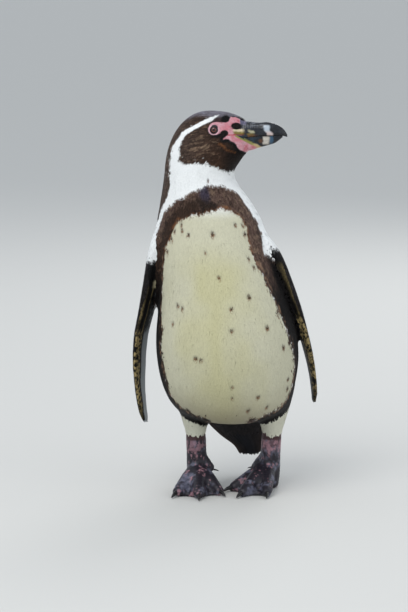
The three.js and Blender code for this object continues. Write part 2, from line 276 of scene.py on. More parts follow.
def lofted(grid: Array) -> Shape:
    """A closed shape from rings of points: neighbours make quads, and the end rings close to a point.

    Args:
        grid: Points as rings x places around x 3, without a repeated place.

    Returns:
        The closed shape, faces out.
    """
    rings, around, _ = grid.shape
    index = np.arange(rings * around).reshape(rings, around)
    nxt = np.roll(index, -1, axis=1)
    quads = np.stack([index[:-1], nxt[:-1], nxt[1:], index[1:]], axis=-1).reshape(-1, 4)
    first, last = rings * around, rings * around + 1
    start = np.stack([np.full(around, first), nxt[0], index[0]], axis=-1)
    end = np.stack([np.full(around, last), index[-1], nxt[-1]], axis=-1)
    points = np.concatenate([grid.reshape(-1, 3), grid[[0, -1]].mean(axis=1)])
    return Shape(points, np.concatenate([start, end]), quads).turned_out()


def ring_of(grid: Array) -> Shape:
    """A closed ring from a grid of points that joins itself in both directions."""
    rings, around, _ = grid.shape
    index = np.arange(rings * around).reshape(rings, around)
    nxt = np.roll(index, -1, axis=1)
    quads = np.stack([index, nxt, np.roll(nxt, -1, axis=0), np.roll(index, -1, axis=0)], axis=-1)
    return Shape(grid.reshape(-1, 3), quads=quads.reshape(-1, 4)).turned_out()


def add_object(name: str, data: ID) -> Object:
    """Puts a mesh, a lamp or a camera into the scene as an object."""
    made = bpy.data.objects.new(name, data)
    bpy.context.scene.collection.objects.link(made)
    return made


def make_object(name: str, shape: Shape, colours: Array | None = None) -> Object:
    """Puts a shape into the scene as a smooth mesh object at the origin, in metres.

    Args:
        name: The object's name.
        shape: Its mesh.
        colours: Linear colour of each point, kept as the attribute "coat".

    Returns:
        The object.
    """
    mesh = bpy.data.meshes.new(name)
    loops = np.concatenate([shape.tris.ravel(), shape.quads.ravel()]).astype(np.int32)
    sizes = np.concatenate([np.full(len(shape.tris), 3), np.full(len(shape.quads), 4)])
    starts = np.concatenate([[0], np.cumsum(sizes)[:-1]]).astype(np.int32)
    mesh.vertices.add(len(shape.points))
    mesh.vertices.foreach_set("co", (shape.points * MM).astype(np.float32).ravel())
    mesh.loops.add(len(loops))
    mesh.loops.foreach_set("vertex_index", loops)
    mesh.polygons.add(len(sizes))
    mesh.polygons.foreach_set("loop_start", starts)
    mesh.polygons.foreach_set("use_smooth", np.ones(len(sizes), bool))
    mesh.update(calc_edges=True)
    if colours is not None:
        layer = mesh.color_attributes.new("coat", "FLOAT_COLOR", "POINT")
        full = np.concatenate([colours, np.ones((len(colours), 1))], axis=1)
        layer.data.foreach_set("color", full.astype(np.float32).ravel())
    return add_object(name, mesh)


def read_values(items: bpy.types.bpy_prop_collection, key: str, width: int, kind: type) -> Array:
    """One property of every item of a mesh, as rows of numbers."""
    values = np.empty(len(items) * width, kind)
    items.foreach_get(key, values)
    return values.reshape(-1, width)


def read_node(name: str) -> Shape:
    """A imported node's triangles in millimetres, with the points that fall together merged."""
    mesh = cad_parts[name].data
    mesh.calc_loop_triangles()
    points = read_values(mesh.vertices, "co", 3, float) / MM
    tris = read_values(mesh.loop_triangles, "vertices", 3, int)
    _, first, same = np.unique(np.round(points, 3), axis=0, return_index=True, return_inverse=True)
    tris = same.reshape(-1)[tris]
    whole = (tris[:, 0] != tris[:, 1]) & (tris[:, 1] != tris[:, 2]) & (tris[:, 2] != tris[:, 0])
    return Shape(points[first], tris[whole])


def box_of(name: str) -> Array:
    """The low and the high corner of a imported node's box, in millimetres."""
    return np.array(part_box(name)) / MM


def dress(piece: Object, slot: str, material: Material, *nodes: str) -> Object:
    """Gives a finished piece its material and its body, and hides the nodes that it stands for."""
    piece.data.materials.append(material)
    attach(piece, "root")
    if nodes:
        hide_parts(*nodes)
    log.info("%s: %d faces", piece.name, len(piece.data.polygons))
    return piece


class Nearest:
    """Finds the nearest place on a triangle mesh."""

    def __init__(self, shape: Shape) -> None:
        """Builds the search tree of the shape's triangles."""
        self.tree = BVHTree.FromPolygons(shape.points.tolist(), shape.all_tris().tolist())

    def __call__(self, points: Array) -> tuple[Array, ...]:
        """The nearest place to each point, the normal of its face and the number of its triangle."""
        found = zip(*(self.tree.find_nearest(p)[:3] for p in points.tolist()))
        return tuple(np.array(part) for part in found)


# -------- where things lie on the bird


@dataclass
class Chart:
    """The trunk and neck unrolled: an angle round the body and a height for each place.

    Level slices of the two solids are taken as ellipses. The angle is 0 on the breastbone and grows
    towards the bird's left, so that +-180 degrees is the spine.
    """

    step: float = 7.0
    even_radius: float = 80.0

    def __post_init__(self) -> None:
        """Measures the middle and the half sizes of each slice of the trunk and neck."""
        points = np.concatenate([read_node("trunk").points, read_node("neck").points])
        low, high = points[:, 2].min(), points[:, 2].max()
        self.heights = np.arange(low + 0.5 * self.step, high - self.step, self.step)
        rows = []
        for z in self.heights:
            near = points[np.abs(points[:, 2] - z) < 1.6 * self.step]
            lo, hi = near.min(axis=0), near.max(axis=0)
            rows.append([*(lo[:2] + hi[:2]) / 2, *(hi[:2] - lo[:2]) / 2])
        self.rows = np.array(rows)

    def slice_at(self, z: Array) -> Array:
        """Middle x, middle y, half width and half depth at each height."""
        return np.stack([np.interp(z, self.heights, self.rows[:, k]) for k in range(4)], axis=-1)

    def angle(self, points: Array) -> Array:
        """The angle round the body of each point, in degrees."""
        cx, cy, half, depth = self.slice_at(points[:, 2]).T
        return np.degrees(np.arctan2((points[:, 0] - cx) / half, -(points[:, 1] - cy) / depth))

    def flat(self, points: Array) -> Array:
        """Points unrolled to millimetres round the body and up it."""
        return np.stack([np.radians(self.angle(points)) * self.even_radius, points[:, 2]], axis=1)

    def from_front(self, drawing: list[tuple[float, float]]) -> Array:
        """Carries points of the front drawing to the unrolled body.

        The drawing's height is z cos(tilt) + y sin(tilt). Angle and height are found in turn, a few
        times over, because the breast's depth depends on both.

        Args:
            drawing: Points of the drawing, across the bird and up it.

        Returns:
            Unrolled points, as flat() gives.
        """
        x, h = np.array(drawing, float).T
        z = h / math.cos(DRAWING_TILT)
        for _ in range(12):
            cx, cy, half, depth = self.slice_at(z).T
            sine = np.clip((x - cx) / half, -1, 1)
            y = cy - depth * np.sqrt(1 - sine * sine)
            z = (h - y * math.sin(DRAWING_TILT)) / math.cos(DRAWING_TILT)
        return np.stack([np.arcsin(sine) * self.even_radius, z], axis=1)

    def on_flat(self, degrees: float, z: float) -> tuple[float, float]:
        """An angle round the body and a height as an unrolled point."""
        return math.radians(degrees) * self.even_radius, z


@dataclass
class HeadPlace:
    """The head's own frame: its middle plane, and the side drawing that both cheeks share."""

    throat: tuple[float, float] = (-36.4, -2.4)
    turn: float = HEAD_TURN

    def straight(self, points: Array) -> Array:
        """Points turned back about the throat, so that the bill points straight along +X."""
        dx, dy = points[:, 0] - self.throat[0], points[:, 1] - self.throat[1]
        c, s = math.cos(self.turn), math.sin(self.turn)
        return np.stack([self.throat[0] + dx * c - dy * s, dx * s + dy * c, points[:, 2]], axis=1)

    def turned(self, points: Array) -> Array:
        """The other way: points of the straight head in the bird's frame."""
        dx, dy = points[:, 0] - self.throat[0], points[:, 1]
        c, s = math.cos(self.turn), math.sin(self.turn)
        x = self.throat[0] + dx * c + dy * s
        return np.stack([x, self.throat[1] + dy * c - dx * s, points[:, 2]], axis=1)

    def drawing(self, points: Array) -> Array:
        """Points of the side drawing, with the far side mirrored on the near one."""
        flat = self.straight(points)
        near = np.stack([flat[:, 0], -np.abs(flat[:, 1]), flat[:, 2]], axis=1)
        p = self.turned(near)
        h = p[:, 2] * math.cos(DRAWING_TILT) + p[:, 1] * math.sin(DRAWING_TILT)
        return np.stack([p[:, 0], h], axis=1)


# -------- markings

# The dark breast band's outer edge, from the bird's right flank over the breast to its left flank.
BAND_TOP = [
    (-93, 333), (-88.5, 360), (-83, 375), (-72, 387), (-58, 394), (-40, 403), (-26, 410), (-19, 409),
    (-3, 409), (19, 400), (30, 388), (42, 364), (48, 346), (53, 320),
]  # fmt: skip
# The cream belly inside the band, from the bird's right flank.
BELLY = [
    (-86, 292), (-83, 309), (-83, 325), (-75, 338), (-72, 352), (-64, 362), (-48, 368), (-22, 374),
    (2, 380), (17, 370), (28, 354), (34, 325), (37, 316), (45, 301), (60, 271), (69, 248), (76, 229),
    (83, 209), (90, 188), (92, 171), (88, 137), (77, 112), (69, 108), (54, 102), (50, 95), (38, 96),
    (31, 84), (15, 86), (-5, 93), (-17, 96), (-31, 96), (-54, 105), (-65, 113), (-76, 131), (-84, 157),
    (-87, 204), (-88, 225), (-87, 252),
]  # fmt: skip
# How far round the flanks the band reaches: degrees from the breastbone, and height.
BAND_LEFT_EDGE = [(70, 322), (95, 300), (104, 250), (104, 200), (105, 120), (100, 60)]
BAND_RIGHT_EDGE = [(-100, 60), (-100, 120), (-96, 240), (-89, 290)]
# The dark back: height, the middle of the dark in degrees and its half width. It swings round to the
# nape, because the head looks to the bird's left.
BACK = np.array([
    (60, -180, 60), (120, -180, 62), (250, -180, 66), (330, -180, 73), (350, -170, 73),
    (373, -148, 68), (388, -133, 60), (404, -115, 55), (418, -103, 47), (445, -90, 31),
])  # fmt: skip
# White of the head's side and the upper neck: the stripe from above the eye round the cheek, and the
# collar under the throat.
HEAD_WHITE = [
    (-10, 506), (-22, 502), (-35, 496), (-48, 489), (-55, 486), (-60, 481), (-67, 471), (-73, 462),
    (-75, 446), (-76, 426), (-79, 405), (-84, 392), (-84, 370), (90, 370), (90, 431), (9, 431), (4, 428),
    (-2, 429), (-15, 435), (-28, 439), (-42, 440), (-55, 438), (-64, 444), (-63, 461), (-60, 470),
    (-55, 478), (-48, 483), (-35, 490), (-19, 498),
]  # fmt: skip
# Bare pink skin round the eye, along the cheek and under the lower half of the bill.
PINK = [
    (-24, 487), (-22.9, 490), (-20.9, 493.4), (-17.6, 495.5), (-12, 496.3), (-5.6, 495.8), (0, 495.6),
    (3.3, 497), (4.9, 500.7), (6.5, 504.3), (8.5, 503), (13, 503.2), (17.8, 501), (21.5, 498.6),
    (30, 498), (30, 484), (30, 476), (56, 463), (50, 455), (32, 456), (25, 457), (18.5, 458.9),
    (15.2, 462), (13.7, 465.6), (10.5, 468.8), (6.5, 470.2), (3.5, 472.8), (-0.5, 473.3), (-4.2, 472),
    (-3.5, 474.4), (0, 476.8), (2.7, 479), (3, 482), (1.4, 484.3), (-1.5, 485.3), (-5, 484.5),
    (-7.4, 482.7), (-9.1, 480), (-12.9, 478.7), (-17.6, 478.8), (-21.2, 480.8), (-23.3, 483.7),
]  # fmt: skip
NOSTRIL_PATCH = ((13.6, 491.0), (7.0, 4.7))  # its middle and half sizes on the side drawing
EYE_SPOT, FOREHEAD_SPOT = (-0.8, 500.3), (22.5, 500)  # dark plumage over the eye and over the bill
# Strokes of colour on the side drawing: from, to, half width, colour and strength.
STROKES = [
    ((-9.6, 466.6), (-1.6, 461.2), 2.4, "rust", 0.85),
    ((-1.6, 458.6), (11.8, 455.0), 2.0, "rust", 0.6),
    ((-35.0, 460.5), (-26.0, 465.5), 1.1, "tan", 0.65),
    ((-32.0, 457.5), (-24.0, 461.5), 0.9, "tan", 0.5),
    ((-22.0, 470.0), (-12.0, 468.0), 0.8, "tan", 0.35),
    ((-46.0, 470.0), (-30.0, 474.0), 0.8, "tan", 0.35),
    ((-52.0, 458.0), (-40.0, 462.0), 0.8, "tan", 0.3),
]
# Dark spots on the belly and breast: across, up and radius on the front drawing.
SPOTS = [
    (-18, 345, 3.2), (-51, 344, 2.4), (12, 358, 2.4), (-28, 320, 1.6), (-10, 287, 2.2), (31, 261, 2.6),
    (-65, 250, 2.4), (-59, 246, 2.0), (7, 245, 2.2), (-72, 226, 2.0), (7, 216, 2.2), (56, 220, 2.6),
    (77, 194, 2.6), (-41, 180, 2.4), (-34, 177, 2.0), (8, 141, 1.5), (8, 126, 1.5), (43, 128, 2.6),
    (56, 114, 2.4), (31, 109, 2.4), (31, 312, 2.0), (38, 301, 2.2), (44, 301, 2.2), (26, 345, 2.4),
    (22, 357, 2.4), (-60, 358, 2.4), (-60, 350, 2.2), (-70, 349, 2.2), (-74, 338, 2.4), (-80, 322, 2.2),
    (-35, 432, 1.6), (-24, 416.5, 2.0), (84, 151, 2.4), (83, 138, 2.6), (-73, 124, 4.0), (-57, 107, 4.0),
]  # fmt: skip
BAND_BLOT = (-29, 400)  # the middle of the band's darkest blot, on the front drawing
THIGH_MIDDLES = (-41.2, 64.1)  # across the bird, right and left
# Heights on each flipper: the end of the white shoulder patch, and the tops of the lines and the buff.
FLIPPER_HEIGHTS = {"right": (317, 283, 219), "left": (333, 316, 239)}
HEAD_FROM = 432  # places of the neck above this height wear the head's markings


@dataclass(frozen=True)
class Tints:
    """Colours of the plumage and the bare skin, as sRGB hex."""

    cream: str = "#cbc8af"
    straw: str = "#c4bf92"
    olive: str = "#99917a"
    white: str = "#f3f5f4"
    band: str = "#5f4b43"
    umber: str = "#33241b"
    flank: str = "#0c0909"
    back: str = "#29231f"
    slate: str = "#4a464f"
    cheek: str = "#37261c"
    tan: str = "#8d7660"
    rim: str = "#0e0c0c"
    nape: str = "#483a32"
    # painted sheen: the head's dark top, lightened to a bluish grey where the sky shines on it
    crown_sheen: str = "#7c7a86"
    brow: str = "#3a2a2c"
    rust: str = "#6c4427"
    pink: str = "#c4757f"
    pale_pink: str = "#d2acb5"
    # painted sheen on the dark horn at the base of the bill
    violet_sheen: str = "#5f5c72"
    foot: str = "#221e27"
    # painted sheen: a lighter blue-grey on the dark skin of the feet
    foot_sheen: str = "#76778a"
    foot_pink: str = "#a37a83"
    cuff: str = "#3a1c1d"
    blade: str = "#1a1615"
    blade_edge: str = "#0a090a"
    blade_grey: str = "#b0b5b8"
    buff: str = "#ab9768"
    under_tail: str = "#1b1718"


class Plumage:
    """Works out the colour of any place on the bird, for the skin and for the coat alike."""

    def __init__(self, chart: Chart, head: HeadPlace, tints: Tints) -> None:
        """Carries the outlines to the unrolled body, and closes them.

        Args:
            chart: The trunk and neck unrolled.
            head: The head's own frame.
            tints: The colours.
        """
        self.chart = chart
        self.head = head
        self.ink = SimpleNamespace(**{name: linear(code) for name, code in vars(tints).items()})
        sides = [chart.on_flat(*p) for p in BAND_LEFT_EDGE + BAND_RIGHT_EDGE]
        self.band = np.concatenate([chart.from_front(BAND_TOP), sides])
        self.belly = chart.from_front(BELLY)
        self.spots = chart.from_front([s[:2] for s in SPOTS])
        self.spot_sizes = np.array([s[2] for s in SPOTS])
        self.blot = chart.from_front([BAND_BLOT])[0]
        self.blades = {side: Blade(side) for side in ("right", "left")}

    def bare_depth(self, points: Array) -> Array:
        """How deep places of the head lie inside the bare skin, less than zero in the plumage."""
        side = self.head.drawing(points)
        rim = (oval(side, *NOSTRIL_PATCH) - 1) * min(NOSTRIL_PATCH[1])
        pink = np.minimum(outline_depth(side, PINK), rim)
        return np.where(points[:, 2] > 450, pink, -50.0)

    def back_share(self, points: Array, flat: Array) -> Array:
        """Depth inside the dark back, in millimetres round the body."""
        angle = np.degrees(flat[:, 0] / self.chart.even_radius)
        middle = np.interp(points[:, 2], BACK[:, 0], BACK[:, 1])
        half = np.interp(points[:, 2], BACK[:, 0], BACK[:, 2])
        off = np.abs((angle - middle + 180) % 360 - 180)
        return np.radians(half - off) * self.chart.even_radius

    def body(self, points: Array, rough: Array) -> Array:
        """Colours of the trunk and neck.

        Args:
            points: Places on the bird.
            rough: A shift of each edge in millimetres, which makes it ragged.

        Returns:
            Linear colours.
        """
        ink = self.ink
        flat = self.chart.flat(points)
        z = points[:, 2]
        soft = noise(points, 26, 3)
        side = np.degrees(flat[:, 0] / self.chart.even_radius)
        under = np.minimum(26.0 - np.abs(points[:, 0] - 5.0), np.minimum(116.0 - z, 70.0 - np.abs(side)))
        belly = np.maximum(outline_depth(flat, self.belly), under)
        straw = ramp(62, 0, np.abs(flat[:, 0] + 12 - 20 * soft)) * ramp(360, 300, z) * 0.75
        cream = mix(mix(ink.white, ink.cream, ramp(402, 374, z)), ink.straw, straw)
        cream = mix(cream, ink.olive, ramp(165, 92, z + 10 * soft) * 0.75)
        cream = mix(ink.white, cream, ramp(-2.5, 0.5, belly))
        colour = cream * (1 + 0.02 * noise(points, 9, 5))[:, None]
        spot_far = foot_far = np.full(len(points), 99.0)
        for centre, size in zip(self.spots, self.spot_sizes):
            spot_far = np.minimum(spot_far, oval(flat, centre, (1, 1)) - size)
            foot_far = np.minimum(foot_far, oval(flat, centre - (0, 1.3), (1, 1)) - size)
        colour = mix(colour, ink.slate, 0.25 * ramp(3.0, 0.0, spot_far + 0.2 * rough))
        colour = mix(colour, ink.rust * 1.5, 0.8 * ramp(0.9, -0.6, foot_far + 0.2 * rough))
        colour = mix(colour, ink.umber, ramp(0.5, -1.2, spot_far + 0.25 * rough))
        flank = np.maximum(ramp(330, 262, z + 8 * soft), ramp(56, 68, side) * ramp(372, 345, z))
        inner = -belly + 5 * noise(points, 8, 12)
        edge = ramp(15, 1, inner) * ramp(40, -30, flat[:, 0])
        edge = np.maximum(edge, ramp(27, 9, inner) * ramp(0, -24, flat[:, 0]))
        pale = 0.4 * noise(points, 7, 11) + noise(points, 3.2, 13) + 0.5 * noise(points, 1.8, 10)
        brown = mix(ink.band, ink.tan, 0.55 * ramp(0.0, 0.8, pale))
        brown = mix(brown, ink.umber, np.clip(0.25 + edge + 0.45 * ramp(-0.1, -0.8, pale), 0, 1))
        smudge = oval(flat, self.blot - (3, 15), (17.0, 12.0)) + 0.4 * noise(points, 6, 19)
        brown = mix(brown, ink.umber * 0.35, 0.9 * ramp(1.3, 0.5, smudge))
        blot = oval(flat, self.blot, (10.5, 10.5)) + 0.25 * noise(points, 4, 14)
        brown = mix(brown, ink.slate * (0.62, 0.55, 0.66), ramp(1.35, 0.45, blot))
        band = np.minimum(outline_depth(flat, self.band), -belly)
        deep = ramp(0.5, 8.0, band + 4 * noise(points, 5, 16) + 3 * noise(points, 2.5, 17))
        brown = mix(brown, ink.flank, flank * (0.25 + 0.75 * deep))
        clumps = 6.0 * ramp(0.15, 0.75, noise(points, 6.5, 15)) * ramp(310, 250, z)
        nibbles = (0.6 + 0.9 * ramp(300, 240, z)) * rough + 2.2 * noise(points, 4.5, 18)
        nibbles += 2.6 * noise(points, 2.8, 23) * np.maximum(ramp(330, 290, z), 0.5 * ramp(366, 376, z))
        flecks = ramp(0.2, 0.6, noise(points, 2.8, 24)) * ramp(11, 3, -belly)
        brown = mix(brown, ink.tan * (1.4, 1.25, 1.2), 0.6 * flecks * ramp(345, 320, z))
        fringe = bell(nibbles - belly, 0.8, 1.9) * ramp(300, 345, z)
        brown = mix(brown, ink.rust * 1.2, 0.65 * fringe)
        colour = mix(colour, brown, ramp(-0.6, 0.6, band + nibbles + clumps))
        dark = ramp(-0.8, 0.8, self.back_share(points, flat) + rough)
        back = mix(mix(ink.back, ink.slate, 0.2 + 0.2 * soft), ink.nape, ramp(340, 400, z))
        return mix(colour, back, dark)

    def head_side(self, points: Array, rough: Array) -> Array:
        """Colours of the head and the top of the neck, from the side drawing."""
        ink = self.ink
        side = self.head.drawing(points)
        x, h = side.T
        grain = np.stack([0.22 * (x + 0.25 * h), points[:, 1], 1.5 * (h - 0.12 * x)], axis=1)
        streak = noise(grain, 2.3, 21)
        fine = noise(grain * (1.6, 1, 1), 1.2, 22)
        bare = self.bare_depth(points)
        low_face = ramp(492, 480, h) * ramp(-30, -12, x)
        cheek = mix(ink.cheek, ink.nape, ramp(-10, -70, x) * 0.9)
        cheek = mix(cheek, ink.rim, 0.75 * ramp(-14, 8, x) * ramp(468, 456, h))
        cheek = cheek * (1 + 0.48 * streak + 0.25 * fine)[:, None]
        cheek = mix(cheek, ink.tan, 0.4 * ramp(0.4, 0.8, streak + 0.35 * fine) * ramp(-4, -20, x))
        # The top of the head is painted a lighter bluish grey: its dark feathers with a painted sheen of the
        # sky.
        rise = h + 0.1 * (x + 10) + 0.5 * np.maximum(-40 - x, 0) + 2 * streak
        high = ramp(498, 508, rise) * ramp(-95, -40, x)
        crown_sheen = mix(ink.nape, ink.crown_sheen, np.clip(0.75 + 0.5 * fine, 0, 1))
        dark = mix(cheek, crown_sheen, high)
        brow = ramp(4, 1, far_from(side, (-17, 497.5), (4, 500)) + streak)
        dark = mix(dark, ink.brow, 0.9 * brow)
        close = ramp(-6.5, -3.0, bare + 1.0 * streak) * np.maximum(low_face, 0.9 * ramp(-8, 2, x))
        dark = mix(dark, ink.rim, close * ramp(507, 500, h))
        dark = mix(dark, ink.rim, ramp(6.2, 4.6, oval(side, EYE_SPOT, (1.15, 1)) + 0.5 * fine))
        dark = mix(dark, ink.rim, ramp(3.4, 2.2, oval(side, FOREHEAD_SPOT, (1, 1))))
        for start, end, wide, tone, share in STROKES:
            far = far_from(side, start, end) + 0.9 * fine
            dark = mix(dark, getattr(ink, tone), share * ramp(wide, 0.3 * wide, far))
        white = outline_depth(side, HEAD_WHITE)
        colour = mix(dark, ink.white, ramp(-0.6, 0.6, white + (0.3 + 0.8 * ramp(466, 454, h)) * rough))
        return mix(colour, self.gape(side, self.bare_skin(points), points), ramp(-0.3, 0.3, bare))

    def bare_skin(self, points: Array) -> Array:
        """Pink skin of the face: paler in soft patches, with fine red freckles."""
        ink = self.ink
        veins = noise(points, 1.6, 31)
        pink = mix(ink.pink, ink.pale_pink, np.clip(0.35 + 0.5 * noise(points, 4.5, 32), 0, 1))
        pink = mix(pink, ink.pink * (0.8, 0.5, 0.55), 0.7 * ramp(0.45, 0.8, noise(points, 2.8, 33)))
        return pink * (1 + 0.12 * veins)[:, None]

    def gape(self, side: Array, tint: Array, points: Array) -> Array:
        """Paints the corner of the mouth over the bill and the skin alike.

        Dark horn round the nostril fades above into a painted, purplish-grey sheen. Under it lie a patch
        from olive to cream and a brown line, and a red fold runs back from the mouth. The lower jaw's pink
        flesh ends at a slanting line, with an olive edge and then blue-black horn above it.

        Args:
            side: Places on the side drawing.
            tint: Their colours so far.
            points: The places themselves.

        Returns:
            Linear colours.
        """
        ink = self.ink
        x, h = side.T
        wave = noise(points, 2.2, 34)
        # painted sheen: the dark horn turns a purplish grey towards the top of the bill's base
        horn = mix(linear("#20232a"), ink.violet_sheen, ramp(490.5, 495.0, h + 1.2 * wave))
        near = ramp(17.6, 19.2, x + 0.6 * wave) * ramp(29, 24, x)
        tint = mix(tint, horn, near * ramp(485.2, 486.8, h) * ramp(504.5, 503, h))
        slope = self.jaw_slope(side) + 0.4 * wave
        jaw = mix(linear("#8d8a45"), linear("#1b2733"), ramp(-1.9, -3.0, slope))
        under = ramp(9.5, 12.5, x) * ramp(31, 27, x) * ramp(478.9, 478.1, h) * ramp(0.4, -0.5, slope)
        tint = mix(tint, jaw, under)
        lip = ramp(8.2, 11, x + wave) * ramp(26, 21, x + wave) * ramp(478.2, 479.2, h) * ramp(487.4, 486.2, h)
        patch = mix(linear("#7b6a2c"), linear("#d5c6a6"), ramp(482.2, 485.2, h + 0.5 * wave))
        patch = mix(patch, linear("#6b3b22"), ramp(480.6, 479.6, h))
        tint = mix(tint, patch, lip)
        red = ramp(1.7, 0.6, far_from(side, (0.5, 478.2), (12, 478.8)) + 0.4 * wave)
        return mix(tint, ink.pink * (0.75, 0.28, 0.35), 0.75 * red)

    @staticmethod
    def jaw_slope(side: Array) -> Array:
        """How far places of the side drawing lie below the line from the gape to the jaw's underside."""
        return (476.6 - side[:, 1]) - (side[:, 0] - 12.0) * 0.47

    def thigh(self, points: Array, rough: Array) -> Array:
        """White cuffs of the legs, under the dark edge of the belly, which rises to the outside."""
        x = points[:, 0]
        right, left = THIGH_MIDDLES
        edge = np.where(x < 0, 95 - 0.5 * (x - right), 101 + 0.5 * (x - left))
        dark = ramp(-1, 1, points[:, 2] - edge + rough)
        return mix(mix(self.ink.white, self.ink.cream, 0.8), self.ink.flank, dark)

    def leg(self, points: Array) -> Array:
        """Dark scaly skin with pink blotches, pinkest at the top of the tarsus under a dark red cuff."""
        ink = self.ink
        z = points[:, 2]
        blotch = noise(points * (1.2, 0.6, 0.8), 7, 41) + 0.9 * noise(points * (1, 1, 0.6), 2.6, 42)
        blotch += 0.4 * noise(points, 1.5, 48)
        # painted sheen: lighter blue-grey patches over the dark skin
        grey = ramp(-0.1, 0.9, noise(points, 11, 44) + 0.6 * noise(points, 3, 45))
        colour = mix(ink.foot, ink.foot_sheen, 0.75 * grey)
        share = ramp(0.1, 0.8, blotch + ramp(48, 60, z) * 0.75 - 0.18 - 0.22 * ramp(46, 30, z))
        share = np.clip(share + 0.35 * np.sign(points[:, 0]) * ramp(50, 57, z), 0, 1)
        # painted shade: dark lines running down the tarsus and the top of the foot
        groove_shade = ramp(0.35, 0.6, noise(points * (1, 1, 0.25), 2.6, 47)) * ramp(36, 46, z)
        flesh = mix(ink.foot_pink, ink.cuff, 0.6 * ramp(0.25, 0.7, noise(points, 2.2, 49)))
        colour = mix(colour, flesh, 0.9 * share)
        colour = mix(colour, ink.foot * 0.6, 0.6 * groove_shade)
        colour = mix(colour, ink.cuff, 0.9 * ramp(67.5, 70, z + 1.2 * blotch))
        return colour * (1 + 0.22 * noise(points, 1.5, 43))[:, None]

    def blade(self, points: Array, rough: Array) -> Array:
        """Colours of the flippers: dark outside, buff and mottled inside, a pale trailing edge, whitened on
        the left as a painted highlight.
        """
        ink = self.ink
        colour = np.zeros((len(points), 3))
        for side, blade in self.blades.items():
            left = int(side == "left")
            mine = (points[:, 0] >= 0) == left
            chord, down, out = blade.place(points[mine]).T
            z = points[mine, 2]
            patch_end, lines_top, buff_top = FLIPPER_HEIGHTS[side]
            spots = noise(points[mine], 3.0, 51) + 0.7 * noise(points[mine], 1.4, 52)
            outer = mix(ink.blade, ink.slate, 0.35 * ramp(0.0, 0.9, spots))
            lower = ramp(buff_top + 6, buff_top - 6, z - 4 * spots)
            lines = bell(chord, 0.012, 0.03 + 0.015 * left)
            lines += 0.8 * bell(chord, 0.23, 0.018) * (1 - left)
            lines *= ramp(lines_top + 4, lines_top - 6, z) * ramp(-0.9, -0.3, spots)
            lines *= 1 - 0.55 * left * ramp(258, 290, z)
            wide = ramp(0.015, 0.045, chord + 0.03 * left)
            wide *= ramp(0.30 + 0.14 * left, 0.24 + 0.14 * left, chord)
            wide *= ramp(-0.15, 0.25, spots)
            wide *= 1 - 0.75 * ramp(0.86, 0.96, down)
            inner = mix(ink.blade_edge, ink.buff, np.clip(lines + (wide - lines) * lower, 0, 1))
            rear = ramp(0.33, 0.39, chord) * lower + 0.6 * ramp(0.5, 0.7, chord + 0.3 * spots) * (1 - lower)
            rear = np.clip(rear, 0, 1) * ramp(0.05, 0.2, down) * (1 - 0.7 * left)
            inner = mix(inner, ink.blade_grey, 0.85 * rear)
            tone = mix(inner, outer, ramp(0.9, 1.6, out - 1.8 * left))
            # The trailing edge: buff on the right flipper; on the left mostly white, a painted highlight
            # where the edge catches the light.
            pale = ramp(0.955, 0.985, chord) * ramp(0.1, 0.3, down)
            tone = mix(tone, mix(ink.buff, ink.white, 0.8 * left), 0.6 * pale)
            slant = patch_end + 26 * ramp(0.3, 0.55, chord)
            patch = ramp(-3, 3, z - slant - 2 * rough[mine]) * ramp(0.70, 0.60, chord)
            mark = np.hypot((chord - 0.24) / 0.085, (z - patch_end + 29) / 8.0) + 0.2 * spots
            mark = ramp(1.3, 0.6, mark) * (out < 2)
            tone = mix(tone, ink.cream * (0.72, 0.66, 0.56), mark * (1 - left))
            colour[mine] = mix(tone, ink.white, patch)
        return colour

    def __call__(self, points: Array, regions: Array, rough: Array) -> Array:
        """Colours of places on any part of the bird.

        Args:
            points: The places, in millimetres.
            regions: The number of each place's Region.
            rough: A shift of the edges at each place.

        Returns:
            Linear colours.
        """
        colour = self.body(points, rough)
        on_head = (regions == Region.NECK.value) & (points[:, 2] > HEAD_FROM)
        on_head |= regions == Region.HEAD.value
        for mine, paint in (
            (on_head, self.head_side),
            (regions == Region.FLIPPER.value, self.blade),
            (regions == Region.THIGH.value, self.thigh),
        ):
            colour[mine] = paint(points[mine], rough[mine])
        feet = regions == Region.FOOT.value
        colour[feet] = self.leg(points[feet])
        tail = regions == Region.TAIL.value
        colour[tail] = self.ink.under_tail * (1 + 0.3 * noise(points[tail], 9, 61))[:, None]
        return np.clip(colour, 0.002, 0.95)


class Blade:
    """One flipper's own frame, measured on its solid: how far along the chord, down and outward."""

    def __init__(self, side: str) -> None:
        """Measures the middle line of a flipper's solid, slice by slice.

        Args:
            side: The bird's right or left.
        """
        points = read_node(f"flipper_{side}").points
        self.sign = -1.0 if side == "right" else 1.0
        self.lean = math.tan(math.radians(17 if side == "right" else 9))
        self.low, self.high = points[:, 2].min(), points[:, 2].max()
        self.heights = np.linspace(self.low + 5, self.high - 8, 24)
        rows = []
        for z in self.heights:
            near = points[np.abs(points[:, 2] - z) < 14]
            rows.append([near[:, 0].mean(), near[:, 1].min(), near[:, 1].max()])
        self.rows = np.array(rows)

    def place(self, points: Array) -> Array:
        """The place of points on the blade.

        Args:
            points: Places on or near the flipper.

        Returns:
            The share of the chord from the front, the share of the way down, and how far out.
        """
        z = points[:, 2]
        middle, front, back = (np.interp(z, self.heights, self.rows[:, k]) for k in range(3))
        chord = (points[:, 1] - front) / (back - front)
        lean = (points[:, 1] - (front + back) / 2) * self.lean
        out = (points[:, 0] - middle) * self.sign + lean
        return np.stack([chord, (self.high - z) / (self.high - self.low), out], axis=1)


# -------- skin


